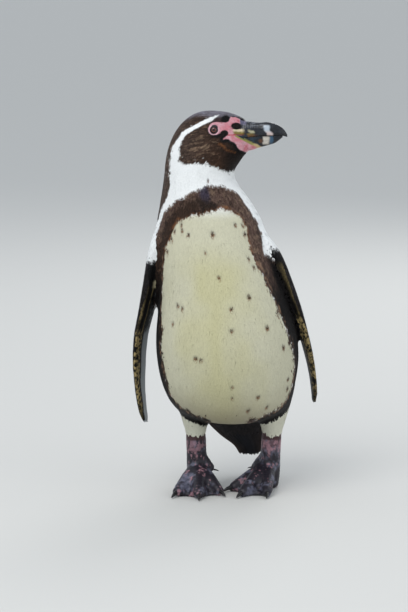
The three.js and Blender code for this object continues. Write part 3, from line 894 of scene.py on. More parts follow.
@dataclass
class EyePlace:
    """Where one eye sits: its middle, the way it looks and its radius, in millimetres."""

    side: str
    aperture: float = 4.6  # radius of the opening between the lids

    def __post_init__(self) -> None:
        """Reads the eye's solid, and aims the eye out of the head and slightly forward."""
        low, high = box_of(f"eye_{self.side}")
        self.middle = (low + high) / 2
        self.radius = float((high - low)[2] / 2)
        sign = -1.0 if self.side == "right" else 1.0
        aim = np.array([math.sin(HEAD_TURN) * sign, math.cos(HEAD_TURN) * sign, 0.0])
        forward = np.array([math.cos(HEAD_TURN), -math.sin(HEAD_TURN), 0.0])
        self.aim = unit(aim + 0.10 * UP + 0.02 * forward)
        self.along = unit(forward - self.aim * (forward @ self.aim))
        up = np.cross(self.along, self.aim)
        self.up = up * np.sign(up[2])

    def polar(self, points: Array) -> tuple[Array, Array]:
        """Distance of points from the eye's axis, and how far out along it they lie."""
        off = points - self.middle
        out = off @ self.aim
        return np.linalg.norm(off - out[:, None] * self.aim, axis=1), out

    def ring(self, radius: Array, out: Array, angle: Array) -> Array:
        """Points at a radius round the axis, a distance out along it, and an angle from forward."""
        across = np.cos(angle)[..., None] * self.along + np.sin(angle)[..., None] * self.up
        return self.middle + radius[..., None] * across + out[..., None] * self.aim


@dataclass
class Skin:
    """The one skin of the bird, which lies inside the solids by the depth of the coat."""

    eyes: list[EyePlace]
    plumage: Plumage
    voxel: float = 2.75
    swell: float = 0.45  # closes the gaps between neighbouring solids
    sweeps: int = 70
    ease: dict = field(default_factory=lambda: {
        Region.TRUNK: 0.6, Region.NECK: 0.6, Region.HEAD: 0.4, Region.THIGH: 0.5,
        Region.FOOT: 0.05, Region.FLIPPER: 0.16, Region.TAIL: 0.2,
    })  # fmt: skip
    depth: dict = field(default_factory=lambda: {
        Region.TRUNK: 1.35, Region.NECK: 1.3, Region.HEAD: 1.05, Region.THIGH: 1.3,
        Region.FOOT: 0.0, Region.FLIPPER: 0.65, Region.TAIL: 1.3,
    })  # fmt: skip
    bare_depth: float = 0.45

    def build(self) -> Object:
        """Makes the skin, colours it, and puts it in the scene.

        Returns:
            The skin's object, without a material.
        """
        flesh = self.flesh()
        fused = self.fused(flesh)
        search = Nearest(flesh)
        regions = self.label(fused, search)
        fused = self.eased(fused, regions, search)
        fused, regions = self.refined(fused, search)
        fused.points = self.with_details(fused, regions)
        self.shape, self.regions = fused, regions
        rough = noise(fused.points, 3.0, 71)
        colours = self.plumage(fused.points, regions, rough)
        colours = self.around_eyes(fused.points, colours)
        whole = fused
        for eye in self.eyes:
            lid, tone = self.lid(eye)
            whole = whole.joined(lid)
            colours = np.concatenate([colours, tone])
        return make_object("skin", whole, colours)

    def flesh(self) -> Shape:
        """All solids of flesh as one mesh; keeps the region of each triangle."""
        whole = Shape(np.zeros((0, 3)))
        owners = []
        for name, region in FLESH.items():
            part = read_node(name)
            owners.append(np.full(len(part.tris), region.value))
            whole = whole.joined(part)
        self.owners = np.concatenate(owners)
        return whole

    def fused(self, flesh: Shape) -> Shape:
        """One closed surface round the swollen solids and the plugged eye sockets, by a voxel remesh."""
        source = Shape(flesh.points + flesh.normals() * self.swell, flesh.tris)
        for eye in self.eyes:
            turn, rise = np.meshgrid(full_turn(24), np.linspace(0.1, 3.04, 12))
            ball = np.stack([np.sin(rise) * np.cos(turn), np.sin(rise) * np.sin(turn), np.cos(rise)], axis=-1)
            source = source.joined(lofted(eye.middle + ball * (eye.radius + 0.2)))
        blank = make_object("blank", source)
        remesh = blank.modifiers.new("remesh", "REMESH")
        remesh.mode = "VOXEL"
        remesh.voxel_size = self.voxel * MM
        evaluated = blank.evaluated_get(bpy.context.evaluated_depsgraph_get())
        mesh = evaluated.to_mesh()
        corners = read_values(mesh.loops, "vertex_index", 1, int)
        shape = Shape(read_values(mesh.vertices, "co", 3, float) / MM, quads=corners.reshape(-1, 4))
        evaluated.to_mesh_clear()
        bpy.data.meshes.remove(blank.data)
        return shape

    def label(self, shape: Shape, search: Nearest) -> Array:
        """The region of each point: that of the nearest solid."""
        return self.owners[search(shape.points)[2]]

    @staticmethod
    def swept(values: Array, edges: Array, sweeps: int, rate: Array | float) -> Array:
        """Spreads values over a mesh: each sweep moves every value a share towards its neighbours' mean.

        Args:
            values: One row of numbers for each point.
            edges: Pairs of neighbouring points.
            sweeps: How many times.
            rate: The share moved, for each point or for all.

        Returns:
            The spread values.
        """
        flat = values.reshape(len(values), -1).astype(float)
        both = np.concatenate([edges, edges[:, ::-1]])
        count = np.maximum(np.bincount(both[:, 0], minlength=len(flat)), 1)
        rate = np.broadcast_to(rate, len(flat))[:, None]
        for _ in range(sweeps):
            total = [np.bincount(both[:, 0], flat[both[:, 1], k], len(flat)) for k in range(flat.shape[1])]
            flat = flat + rate * (np.stack(total, axis=1) / count[:, None] - flat)
        return flat.reshape(values.shape)

    @staticmethod
    def by_region(regions: Array, table: dict[Region, float]) -> Array:
        """The value of a table for each point's region."""
        return np.array([table[region] for region in Region])[regions]

    def eased(self, shape: Shape, regions: Array, search: Nearest) -> Shape:
        """Smooths the facets away, then moves the skin in to its depth under the solids' surface."""
        edges = shape.edges()
        rate = self.swept(self.by_region(regions, self.ease), edges, 6, 0.5)
        points = self.swept(shape.points, edges, self.sweeps, rate)
        shape = Shape(points, shape.tris, shape.quads)
        normals = shape.normals()
        places, facing, _ = search(points)
        off = np.einsum("ij,ij->i", points - places, facing)
        off = self.swept(np.clip(off, -4, 4), edges, 14, 0.5)
        depth = self.by_region(regions, self.depth)
        bare = ramp(-1.5, 1.5, self.plumage.bare_depth(points)) * (regions == Region.HEAD.value)
        depth = depth + (self.bare_depth - depth) * bare
        depth = self.swept(depth, edges, 8, 0.5)
        points = points - normals * (off + depth)[:, None]
        feet = regions == Region.FOOT.value
        points[feet, 2] = np.maximum(points[feet, 2], 0.0)
        return Shape(points, shape.tris, shape.quads)

    def refined(self, shape: Shape, search: Nearest) -> tuple[Shape, Array]:
        """Cuts the faces of the feet in four and those of the bare face in sixteen, and rounds them."""
        bm = bmesh.new()
        mesh = bpy.data.meshes.new("rough")
        mesh.from_pydata(shape.points.tolist(), [], shape.quads.tolist())
        bm.from_mesh(mesh)
        bpy.data.meshes.remove(mesh)
        for number in range(2):
            bm.verts.ensure_lookup_table()
            points = np.array([v.co[:] for v in bm.verts])
            fine = self.plumage.bare_depth(points) > -2.5
            if number == 0:
                fine |= (points[:, 2] < 86) & (np.abs(points[:, 1]) < 90) & self.near_feet(points)
            edges = [e for e in bm.edges if fine[e.verts[0].index] and fine[e.verts[1].index]]
            bmesh.ops.subdivide_edges(bm, edges=edges, cuts=1, use_grid_fill=True)
            bm.verts.index_update()
        bmesh.ops.triangulate(bm, faces=bm.faces)
        points = np.array([v.co[:] for v in bm.verts])
        tris = np.array([[v.index for v in f.verts] for f in bm.faces])
        bm.free()
        made = Shape(points, tris)
        labels = self.label(made, search)
        face = self.plumage.bare_depth(points) > -6
        rate = np.where(face | (labels == Region.FOOT.value), 0.45, 0.0)
        made.points = self.swept(points, made.edges(), 4, rate)
        return made, labels

    @staticmethod
    def near_feet(points: Array) -> Array:
        """Whether points lie by the solids of the feet."""
        boxes = [box_of("foot_right"), box_of("foot_left")]
        near = [np.all((points > low - 3) & (points < high + 3), axis=1) for low, high in boxes]
        return near[0] | near[1]

    def with_details(self, shape: Shape, regions: Array) -> Array:
        """Presses the eye sockets in, and raises the scales of the feet and the folds of the face."""
        points, normals = shape.points.copy(), shape.normals()
        bare = ramp(0.0, 1.5, self.plumage.bare_depth(points))
        fold = noise(points * (0.7, 1, 1.2), 3.4, 81) * 0.22
        points += normals * (fold * bare)[:, None]
        feet = regions == Region.FOOT.value
        points[feet] += normals[feet] * self.scutes(points[feet])[:, None]
        points[feet, 2] = np.maximum(points[feet, 2], 0.0)
        for eye in self.eyes:
            radius, out = eye.polar(points)
            near = (radius < 10.5) & (out > 0)
            swell = 0.55 * bell(radius, 6.6, 1.3) - 0.25 * bell(radius, 8.6, 0.8)
            points[near] += eye.aim * swell[near][:, None]
            ball = np.sqrt(np.maximum((eye.radius - 1.0) ** 2 - radius**2, 0.0))
            rim = np.sqrt(np.maximum((eye.radius + 0.1) ** 2 - radius**2, 0.0))
            target = np.where(radius < eye.aperture - 0.2, ball, np.maximum(out, rim))
            points[near] += eye.aim * (target - out)[near][:, None] * ramp(6.6, 5.0, radius[near])[:, None]
        return points

    def scutes(self, points: Array) -> Array:
        """Height of the scales of the feet: rounded cells of a jittered lattice, about 2 mm wide.

        Grooves between the scales run where two middles of cells are equally near.

        Args:
            points: Places on the feet.

        Returns:
            Heights in millimetres.
        """
        size = 2.1
        p = points / size
        base = np.floor(p)
        first = second = np.full(len(p), 9.0)
        for corner in np.ndindex(3, 3, 3):
            cell = base + np.array(corner) - 1
            jitter = np.stack([scramble(cell, seed) for seed in (91, 92, 93)], axis=1)
            gap = np.linalg.norm(cell + 0.15 + 0.7 * jitter - p, axis=1)
            second = np.minimum(second, np.maximum(first, gap))
            first = np.minimum(first, gap)
        return 0.30 * ramp(0.0, 0.32, second - first) - 0.17

    def around_eyes(self, points: Array, colours: Array) -> Array:
        """Darkens the rim of each socket, and pales the ring of skin outside it."""
        for eye in self.eyes:
            radius, out = eye.polar(points)
            near = out > 2
            pale = bell(radius, 6.6, 0.8) * near
            colours = mix(colours, self.plumage.ink.pale_pink * 1.08, 0.8 * pale)
            colours = mix(colours, self.plumage.ink.rim, ramp(5.7, 5.3, radius) * near)
        return colours

    def lid(self, eye: EyePlace) -> tuple[Shape, Array]:
        """The beaded black rim of the lids: a ring of round section with small bumps along it.

        Args:
            eye: The eye that it goes round.

        Returns:
            The ring and the colours of its points.
        """
        turn, around = full_turn(96)[:, None], full_turn(14)[None, :]
        thick = 0.62 * (1 + 0.10 * np.sin(turn * 22) + 0.05 * np.sin(turn * 9 + 1))
        wide = eye.aperture + 0.35 - 0.35 * np.cos(2 * turn) ** 2 * 0.6
        radius = wide + thick * np.cos(around)
        out = np.sqrt(eye.radius**2 - wide**2) + 0.1 + 0.8 * thick * np.sin(around)
        shape = ring_of(eye.ring(radius, out, turn))
        return shape, np.broadcast_to(self.plumage.ink.rim, shape.points.shape) * 1.3


# -------- coat


@dataclass
class VaneKind:
    """The small feathers of one region: size in millimetres, how they stand and how they stray."""

    length: float
    width: float
    spacing: float
    lift: float  # height of the tip over the skin
    stray: float = 7.0  # degrees
    sink: float = 0.5


@dataclass
class Bed:
    """The feathers of one region: what they are like, where they grow and which way they lie."""

    region: Region
    kind: VaneKind
    roots: Array
    normals: Array
    flow: Array

    def part(self, rows: Array) -> "Bed":
        """Some of the feathers, by their numbers."""
        return Bed(self.region, self.kind, self.roots[rows], self.normals[rows], self.flow[rows])


@dataclass
class Coat:
    """Small solid feathers over the skin, laid along its lie and coloured one by one."""

    skin: Skin
    plumage: Plumage
    most: int = 15500  # feathers of one piece: each has 12 triangles
    patch: float = 0.003  # side of a feather's patch on the unwrap
    round: float = 0.16  # how far the shading of a vane leans over at its sides
    parting: tuple = (30.0, -9.0, 492.0)  # the head's feathers all point away from here
    bill_base: tuple = (22.0, -9.0, 490.0)
    head_middle: tuple = (-25.0, -3.0, 478.0)
    kinds: dict = field(default_factory=lambda: {
        Region.TRUNK: VaneKind(7.8, 2.8, 1.66, 1.2),
        Region.NECK: VaneKind(6.0, 2.4, 1.45, 1.15),
        Region.HEAD: VaneKind(4.2, 1.4, 1.04, 0.95, 6.0, 0.3),
        Region.THIGH: VaneKind(6.0, 2.3, 1.5, 1.15),
        Region.FLIPPER: VaneKind(3.0, 1.5, 1.25, 0.55, 5.0, 0.22),
        Region.TAIL: VaneKind(12.0, 4.0, 2.5, 1.4),
    })  # fmt: skip

    # places along a vane, height as a share of the lift, and half width as a share of the width
    RINGS = np.array([(0.30, 0.50, 0.46), (0.80, 0.93, 0.40)])
    # the corners of one feather's 12 triangles, faces out
    VANE = np.array([
        (0, 1, 2), (0, 2, 3), (0, 3, 1),
        (1, 5, 2), (1, 4, 5), (2, 6, 3), (2, 5, 6), (3, 4, 1), (3, 6, 4),
        (4, 7, 5), (5, 7, 6), (6, 7, 4),
    ])  # fmt: skip
    # lightness of a dark feather's eight points, from the root to the tip
    SHADE = np.array([0.6, 0.8, 0.75, 0.8, 1.05, 0.92, 1.05, 1.15])
    CELLS = 8192  # of the thinning lattice along each axis

    def build(self) -> list[Object]:
        """Makes every piece of the coat.

        Returns:
            The pieces, without a material.
        """
        self.search = Nearest(self.skin.shape)
        self.random = np.random.default_rng(7)
        made = []
        for region, kind in self.kinds.items():
            roots, normals = self.roots(region, kind)
            bed = Bed(region, kind, roots, normals, self.flow(roots, normals, region))
            number = math.ceil(len(roots) / self.most)
            order = np.argsort(roots[:, 2], kind="stable")
            for index, rows in enumerate(np.array_split(order, number)):
                name = f"coat_{region.name.lower()}" + (f"_{index + 1}" if number > 1 else "")
                made.append(self.piece(name, bed.part(rows)))
        return made

    def roots(self, region: Region, kind: VaneKind) -> tuple[Array, Array]:
        """Scatters the feathers of a region evenly on the skin.

        Random places are drawn by area, and thinned until they keep their distance.

        Args:
            region: The region to cover.
            kind: Its feathers.

        Returns:
            The places, and the skin's smooth normals there.
        """
        shape = self.skin.shape
        tris = shape.tris
        mine = self.skin.regions[tris] == region.value
        shared = region in (Region.NECK, Region.TRUNK)
        tris = tris[mine.any(axis=1) if shared else mine.all(axis=1)]
        p = shape.points[tris]
        area = 0.5 * np.linalg.norm(np.cross(p[:, 1] - p[:, 0], p[:, 2] - p[:, 0]), axis=1)
        count = int(area.sum() / kind.spacing**2 * 5)
        pick = self.random.choice(len(tris), count, p=area / area.sum())
        u, v = self.random.random((2, count))
        u, v = np.where(u + v > 1, 1 - u, u), np.where(u + v > 1, 1 - v, v)
        weight = np.stack([1 - u - v, u, v], axis=1)
        places = np.einsum("ij,ijk->ik", weight, shape.points[tris[pick]])
        normals = unit(np.einsum("ij,ijk->ik", weight, shape.normals()[tris[pick]]))
        keep = self.thinned(places, kind.spacing)
        places, normals = places[keep], normals[keep]
        covered = np.ones(len(places), bool)
        if region is Region.HEAD:
            clear_of_bill = places[:, 0] < box_of("bill_upper")[0, 0] + 8.5
            covered = (self.plumage.bare_depth(places) < -0.2) & clear_of_bill
        if region is Region.TAIL:
            covered = places[:, 2] > 66 + 4 * noise(places, 9, 72)
        return places[covered], normals[covered]

    def thinned(self, places: Array, spacing: float) -> Array:
        """Picks places that keep their distance, by rounds on a lattice of cells.

        Each cell keeps one place. In each round a place wins if its number is the lowest of the
        undecided ones within reach, and those next to a winner drop out.

        Args:
            places: Candidate places.
            spacing: The wanted spacing.

        Returns:
            The numbers of the places that stay.
        """
        reach = 0.80 * spacing
        cells = np.floor(places / (reach * 0.6)).astype(np.int64) + self.CELLS // 2
        key, first = np.unique(self.keys(cells), return_index=True)
        p, c = places[first], cells[first]
        rank = self.random.random(len(first))
        pairs = []
        for step in [s for s in np.ndindex(5, 5, 5) if s > (2, 2, 2)]:
            want = self.keys(c + np.array(step) - 2)
            at = np.minimum(np.searchsorted(key, want), len(key) - 1)
            hit = np.nonzero(key[at] == want)[0]
            near = np.linalg.norm(p[hit] - p[at[hit]], axis=1) < reach
            pairs.append(np.stack([hit[near], at[hit][near]], axis=1))
        pairs = np.concatenate(pairs)
        state = np.zeros(len(first), int)  # 0 undecided, 1 kept, 2 dropped
        for _ in range(12):
            live = pairs[np.all(state[pairs] == 0, axis=1)]
            lost = np.zeros(len(first), bool)
            worse = np.where(rank[live[:, 0]] > rank[live[:, 1]], live[:, 0], live[:, 1])
            lost[worse] = True
            state[(state == 0) & ~lost] = 1
            kept = state[pairs] == 1
            state[pairs[kept[:, 0] & (state[pairs[:, 1]] == 0), 1]] = 2
            state[pairs[kept[:, 1] & (state[pairs[:, 0]] == 0), 0]] = 2
        return first[state == 1]

    def keys(self, cells: Array) -> Array:
        """One whole number for each cell of the lattice."""
        return (cells[:, 0] * self.CELLS + cells[:, 1]) * self.CELLS + cells[:, 2]

    def flow(self, roots: Array, normals: Array, region: Region) -> Array:
        """The lie of the coat: the way a feather points along the skin.

        It runs down the body, the flippers and the tail, and over the head away from the bill.

        Args:
            roots: Where the feathers grow.
            normals: The skin's normals there.
            region: The part of the body.

        Returns:
            Unit vectors along the skin.
        """
        z = roots[:, 2]
        lie = np.tile([0.0, 0.0, -1.0], (len(roots), 1))
        if region in (Region.TRUNK, Region.TAIL):
            lie[:, 1] = 1.1 * ramp(150, 100, z)
        if region in (Region.HEAD, Region.NECK):
            share = ramp(418, 462, z)
            lie = mix(lie, unit(roots - self.parting), share)
            lie[:, 2] -= 0.25 * share
        if region is Region.FLIPPER:
            side = np.where(roots[:, 0] < 0, -1.0, 1.0)
            lie = np.stack([0.22 * side * ramp(300, 160, z), 0.35 + 0 * z, -np.ones(len(z))], axis=1)
        lie = lie + 0.10 * np.stack([noise(roots, 17, s) for s in (101, 102, 103)], axis=1)
        return unit(lie - normals * np.einsum("ij,ij->i", lie, normals)[:, None])

    def stray(self, n: int, share: Array | float) -> Array:
        """A random factor near one for each of n feathers."""
        return 1 + share * self.random.normal(0, 1, n).clip(-2, 2)

    def piece(self, name: str, bed: Bed) -> Object:
        """Builds the feathers of one piece as slivers with a ridge, closed at both ends.

        Each has two rings of three points, left, ridge and right, between a sunk root and a tip that
        follows the skin. The points' normals keep close to the skin's, so that the coat shades as one
        soft surface.

        Args:
            name: The piece's name.
            bed: Its feathers.

        Returns:
            The piece's object.
        """
        kind, roots, normals, n = bed.kind, bed.roots, bed.normals, len(bed.roots)
        angle = np.radians(self.random.normal(0, kind.stray, n))[:, None]
        flow = bed.flow * np.cos(angle) + np.cross(normals, bed.flow) * np.sin(angle)
        close = self.small_near_face(bed)
        length = kind.length * self.stray(n, 0.12) * close
        width = kind.width * self.stray(n, 0.10) * close
        lift = kind.lift * self.stray(n, 0.05)
        roll = self.random.normal(0, 0.05, n)
        under, facing, _ = self.search(roots + flow * length[:, None])
        facing = np.where(np.einsum("ij,ij->i", facing, normals)[:, None] > 0.3, facing, normals)
        reach = np.linalg.norm(under - roots, axis=1)
        under = np.where((reach > 0.6 * length)[:, None], under, roots + flow * length[:, None])
        tip = under + facing * lift[:, None]
        points, facings = np.empty((n, 8, 3)), np.empty((n, 8, 3))
        points[:, 0], facings[:, 0] = roots - normals * kind.sink, normals
        points[:, 7], facings[:, 7] = tip - facing * 0.1, facing
        for k, (along, high, half) in enumerate(self.RINGS):
            up = unit(normals * (1 - along) + facing * along)
            centre = roots + (under - roots) * along + up * (lift * high)[:, None]
            side = unit(np.cross(up, flow)) + up * roll[:, None]
            for column in range(3):
                at = 1 + 3 * k + column
                thick = (0.10 + 0.03 * kind.width * half) * (column == 1)
                points[:, at] = centre + side * (width * half)[:, None] * (column - 1) + up * thick
                facings[:, at] = unit(up + self.round * side * (column - 1) + 0.06 * flow)
        colours = self.colours(points[:, [2, 4, 6, 7]], bed.region)
        piece = make_object(name, Shape(points.reshape(-1, 3), self.faces(n)), colours)
        piece.data.normals_split_custom_set_from_vertices(facings.reshape(-1, 3).tolist())
        self.unwrap(piece, bed)
        return piece

    def small_near_face(self, bed: Bed) -> Array:
        """A factor that shortens the feathers of the head towards the bill."""
        if bed.region is not Region.HEAD:
            return np.ones(len(bed.roots))
        return 0.55 + 0.55 * ramp(12, 62, np.linalg.norm(bed.roots - self.bill_base, axis=1))

    def faces(self, n: int) -> Array:
        """The triangles of n feathers."""
        return (self.VANE[None] + 8 * np.arange(n)[:, None, None]).reshape(-1, 3)

    def colours(self, seen: Array, region: Region) -> Array:
        """Colours of feathers' points: the markings at four places, darker at the root of a dark one.

        Args:
            seen: The middle, both sides and the tip of each feather's bare part, n x 4 x 3.
            region: The part of the body.

        Returns:
            Linear colours of all their points.
        """
        n = len(seen)
        frayed = self.random.exponential(1.0, n) * (self.random.random(n) < 0.35)
        rough = noise(seen[:, 3], 3.6, 71) * 1.7 + self.random.normal(0, 0.5, n) + 1.3 * frayed
        base = self.plumage(seen.reshape(-1, 3), np.full(4 * n, region.value), np.repeat(rough, 4))
        base = base.reshape(n, 4, 3)[:, [0, 0, 0, 0, 1, 3, 2, 3]]
        dark = ramp(0.25, 0.06, base.mean(axis=(1, 2)))
        base = base * self.stray(n, 0.018 + 0.27 * dark)[:, None, None]
        shade = 1 + (self.SHADE - 1) * (0.12 + 1.1 * dark)[:, None]
        return np.clip(base * shade[..., None], 0.001, 0.95).reshape(-1, 3)

    def unwrap(self, piece: Object, bed: Bed) -> None:
        """Adds the map OFBake: each feather is a small patch at its root's place on the skin unrolled.

        Args:
            piece: The piece of the coat.
            bed: Its feathers.
        """
        n = len(bed.roots)
        place = self.unrolled(bed.roots, bed.region)
        low, high = place.min(axis=0), place.max(axis=0)
        place = 0.01 + 0.98 * (place - low) / (high - low)
        v = np.concatenate([[0.0], np.repeat(self.RINGS[:, 0], 3), [1.0]])
        u = np.concatenate([[0.5], np.tile([0.0, 0.5, 1.0], len(self.RINGS)), [0.5]])
        vane = np.stack([u, v], axis=1)
        baked = place[:, None, :] + (vane - 0.5) * self.patch
        corners = self.faces(n).ravel()
        for name, uv in (("OFBake", baked.reshape(-1, 2)), ("Vane", np.tile(vane, (n, 1)))):
            layer = piece.data.uv_layers.new(name=name)
            layer.data.foreach_set("uv", uv[corners].astype(np.float32).ravel())

    def unrolled(self, roots: Array, region: Region) -> Array:
        """Places on an unwrap of the skin's own shape.

        The trunk, neck, tail and thighs unroll round their axis, the head is mapped as a globe, and
        the inside of each flipper lies next to its outside.

        Args:
            roots: Where feathers grow.
            region: The part of the body.

        Returns:
            Two numbers for each place.
        """
        chart = self.plumage.chart
        right = roots[:, 0] < 0
        if region is Region.HEAD:
            off = unit(roots - self.head_middle)
            return np.stack([np.arctan2(off[:, 1], off[:, 0]), np.arcsin(off[:, 2])], axis=1)
        if region is Region.FLIPPER:
            rows = np.zeros((len(roots), 3))
            for mine, side in ((right, "right"), (~right, "left")):
                rows[mine] = self.plumage.blades[side].place(roots[mine])
            column = np.where(right, 0, 2) + (rows[:, 2] > 0)
            return np.stack([column * 1.2 + rows[:, 0], -rows[:, 1]], axis=1)
        if region is Region.THIGH:
            turn = np.arctan2(roots[:, 1], roots[:, 0] - np.where(right, *THIGH_MIDDLES))
            return np.stack([turn + np.where(right, 0, 7), roots[:, 2]], axis=1)
        cx, cy = chart.slice_at(roots[:, 2])[:, :2].T
        wide = np.hypot(roots[:, 0] - cx, roots[:, 1] - cy)
        return np.stack([chart.angle(roots), roots[:, 2] + 0.9 * wide], axis=1)


# -------- bill, eyes, claws and tail


@dataclass
class Bill:
    """Both halves of the bill, in the straight head's middle plane."""

    plumage: Plumage
    shift: float = 0.2  # the solids are centred over the floor by this much
    rows: tuple = (
        # along, ridge, mouth, underside, half width
        (6, 501.0, 483.4, 478.6, 15.8),
        (18, 504.4, 484.0, 470.6, 14.4),
        (27, 505.2, 484.8, 465.8, 12.9),
        (36, 504.8, 485.8, 466.8, 11.3),
        (46, 503.8, 486.6, 470.2, 10.1),
        (57, 504.4, 487.0, 473.2, 8.9),
        (66, 502.4, 487.2, 476.2, 7.5),
        (72, 499.8, 487.2, 480.4, 6.1),
        (76.6, 496.4, 486.8, 484.0, 4.5),
        (80.4, 491.6, 485.8, 484.8, 2.7),
        (82.6, 487.6, 485.0, 484.4, 1.0),
    )

    def build(self) -> list[Object]:
        """Makes the upper and the lower half.

        Returns:
            Both objects, without a material.
        """
        table = np.array(self.rows)
        head = self.plumage.head
        made = []
        for name, top, end, lap in (
            ("bill_horn_upper", True, 82.6, 0.25),
            ("bill_horn_lower", False, 76.2, -0.35),
        ):
            x = np.linspace(table[0, 0], end, 110)
            ridge, mouth, under, width = curve(table[:, 0], table[:, 1:], x).T
            grid = self.half(x, ridge if top else under, mouth, width + lap, top)
            shape = lofted(head.turned(grid.reshape(-1, 3)).reshape(grid.shape))
            tint = self.upper_tint if top else self.lower_tint
            made.append(make_object(name, shape, tint(shape.points, head.drawing(shape.points))))
        return made

    def half(self, x: Array, rim: Array, mouth: Array, width: Array, top: bool) -> Array:
        """Rings of one half: an arch from edge to edge, closed by a slightly hollow palate.

        Half width times cos(a) ** 0.8 and height times sin(a) ** 0.92 give the arch. Grooves run along
        the side, and faint growth lines cross the base.

        Args:
            x: Places along the bill.
            rim: Height of the ridge, or of the underside, at each.
            mouth: Height of the mouth line.
            width: Half width.
            top: Whether it's the upper half.

        Returns:
            Points as rings x places around x 3.
        """
        a = full_turn(72)[None, :]
        x, rim, mouth, width = (v[:, None] for v in (x, rim, mouth, width))
        sign = 1.0 if top else -1.0
        cosine, sine = np.cos(a), np.sin(a)
        across = -np.sign(cosine) * np.abs(cosine) ** 0.8
        seam = mouth + sign * 0.12 - (0.5 if top else 0.45) * np.abs(cosine) ** 6 * ramp(10, 30, x)
        high = np.maximum(np.abs(rim - seam), 0.4)
        arch = np.maximum(sine, 0) ** 0.92
        share = np.degrees(a)
        folded = np.where(share > 90, 180 - share, share)
        if top:
            groove = 0.75 * bell(folded, 47, 7) * ramp(16, 22, x) * ramp(58, 44, x)
            groove += 0.35 * bell(folded, 24, 4) * ramp(20, 30, x) * ramp(70, 56, x)
            groove += 0.9 * bell(folded, 40, 9) * bell(x, 21, 4.5)
        else:
            groove = 0.55 * bell(folded, 33, 7) * ramp(26, 34, x) * ramp(66, 54, x)
        growth = 0.10 * np.sin(x * 2.1 + 3 * np.sin(a) + 0.8 * np.sin(x * 0.7)) * ramp(52, 26, x)
        growth = growth + 0.18 * bell(x, 49, 0.8) + 0.16 * bell(x, 62, 0.9)
        dent = (groove + growth) * (sine > 0)
        palate = 0.9 * np.maximum(-sine, 0) ** 2 * np.minimum(1, high / 6)
        y = across * np.maximum(width - dent * np.abs(cosine) ** 0.3, 0.3)
        z = seam + sign * (high * arch - dent * arch * 0.5) + sign * palate
        return np.stack(np.broadcast_arrays(x + self.shift, y, z), axis=-1)

    def upper_tint(self, points: Array, side: Array) -> Array:
        """Colours of the upper half: slate black with painted sheen, a pale bar near the tip, olive at the
        gape.
        """
        x, h = side.T
        wave = noise(points, 3.0, 111)
        fine = noise(points * (0.3, 1, 1), 0.9, 112)
        dark = mix(linear("#0d0f13"), linear("#20242c"), np.clip(0.4 + 0.5 * wave + 0.4 * fine, 0, 1))
        plates = ramp(0.0, 0.6, noise(points * (0.3, 1, 1.3), 3.0, 113)) * ramp(50, 40, x)
        tint = mix(dark, linear("#4d535e"), 0.22 * plates * ramp(499, 494, h))
        # painted highlight: a purplish grey along the ridge at the base, where light catches the top of the
        # bill
        tint = mix(tint, linear("#6f7583"), 0.35 * ramp(495.5, 498.5, h + 0.6 * wave) * ramp(50, 22, x))
        # painted sheen: thin pale lines over the upper half of the base
        sheen_streaks = ramp(0.35, 0.7, noise(points * (0.22, 1, 1.7), 1.5, 114) + 0.3 * wave)
        sheen_streaks *= ramp(53, 45, x) * (ramp(486.5, 490, h) - 0.85 * ramp(45, 40, x) * ramp(494, 491, h))
        tint = mix(tint, linear("#a4a9b2"), 0.55 * sheen_streaks)
        low = ramp(486, 481, h)
        start = 50.2 + 4.4 * low + 0.7 * wave
        bar = ramp(start - 1.2, start + 1.4, x) * ramp(start + 9.6, start + 6.4, x)
        bar *= ramp(493.2, 491.2, h + 0.5 * wave) * ramp(477.5, 479.0, h)
        pale = mix(linear("#b9c3cc"), linear("#d2bfba"), low)
        tint = mix(tint, pale * (1 + 0.12 * fine)[:, None], 0.85 * bar)
        cream = ramp(1.25, 0.55, np.hypot((x - 34.0) / 5.2, (h - 483.6 - 0.2 * (34 - x)) / 2.0) + 0.2 * wave)
        tint = mix(tint, linear("#b7b293"), 0.75 * cream)
        tail = ramp(26, 30, x) * ramp(40, 34, x) * ramp(481.6, 480.2, h)
        tint = mix(tint, linear("#7b6a2c"), 0.8 * tail)
        edge = ramp(480.2, 478.6, h + 0.4 * wave) * ramp(10, 14, x) * ramp(46, 34, x)
        tint = mix(tint, linear("#5d3423"), 0.7 * edge)
        return np.clip(self.plumage.gape(side, tint, points), 0.003, 0.9)

    def lower_tint(self, points: Array, side: Array) -> Array:
        """Colours of the lower half: flesh at its base, an olive edge, blue-black horn, a pale bar."""
        x, h = side.T
        wave = noise(points, 3.0, 121)
        fine = noise(points * (0.3, 1, 1), 0.9, 122)
        slope = self.plumage.jaw_slope(side)
        dark = mix(linear("#0d141b"), linear("#243544"), np.clip(0.3 + 0.5 * wave + 0.4 * fine, 0, 1))
        tint = mix(dark, linear("#121217"), ramp(38, 46, x) * 0.7)
        blue = ramp(1.5, 0.4, oval(side, (60.6, 473), (2.8, 6.0)) + 0.15 * wave)
        tint = mix(tint, linear("#456b88"), 0.6 * blue)
        start = 49.4 + 0.8 * wave
        bar = ramp(start - 1.2, start + 1.2, x) * ramp(start + 10.0, start + 6.8, x) * ramp(465.5, 468.5, h)
        bar *= ramp(477.4, 476.2, h)
        tint = mix(tint, linear("#cfc8bd") * (1 + 0.12 * fine)[:, None], 0.85 * bar)
        rust = ramp(1.4, 0.3, oval(side, (46.4, 471.5), (3.4, 2.8)) + 0.15 * wave)
        tint = mix(tint, linear("#6f4528"), 0.6 * rust)
        edge = ramp(-5.0, -2.6, slope + 0.6 * wave)
        olive = mix(linear("#8d8a45"), linear("#cdb384"), ramp(30, 46, x + 2 * wave))
        tint = mix(tint, olive, 0.9 * edge * ramp(57, 48, x))
        flesh = self.plumage.bare_skin(points) * 0.95
        tint = mix(tint, flesh, ramp(-0.8, 0.8, slope + 0.5 * wave) * ramp(46, 38, x))
        return np.clip(tint, 0.003, 0.9)


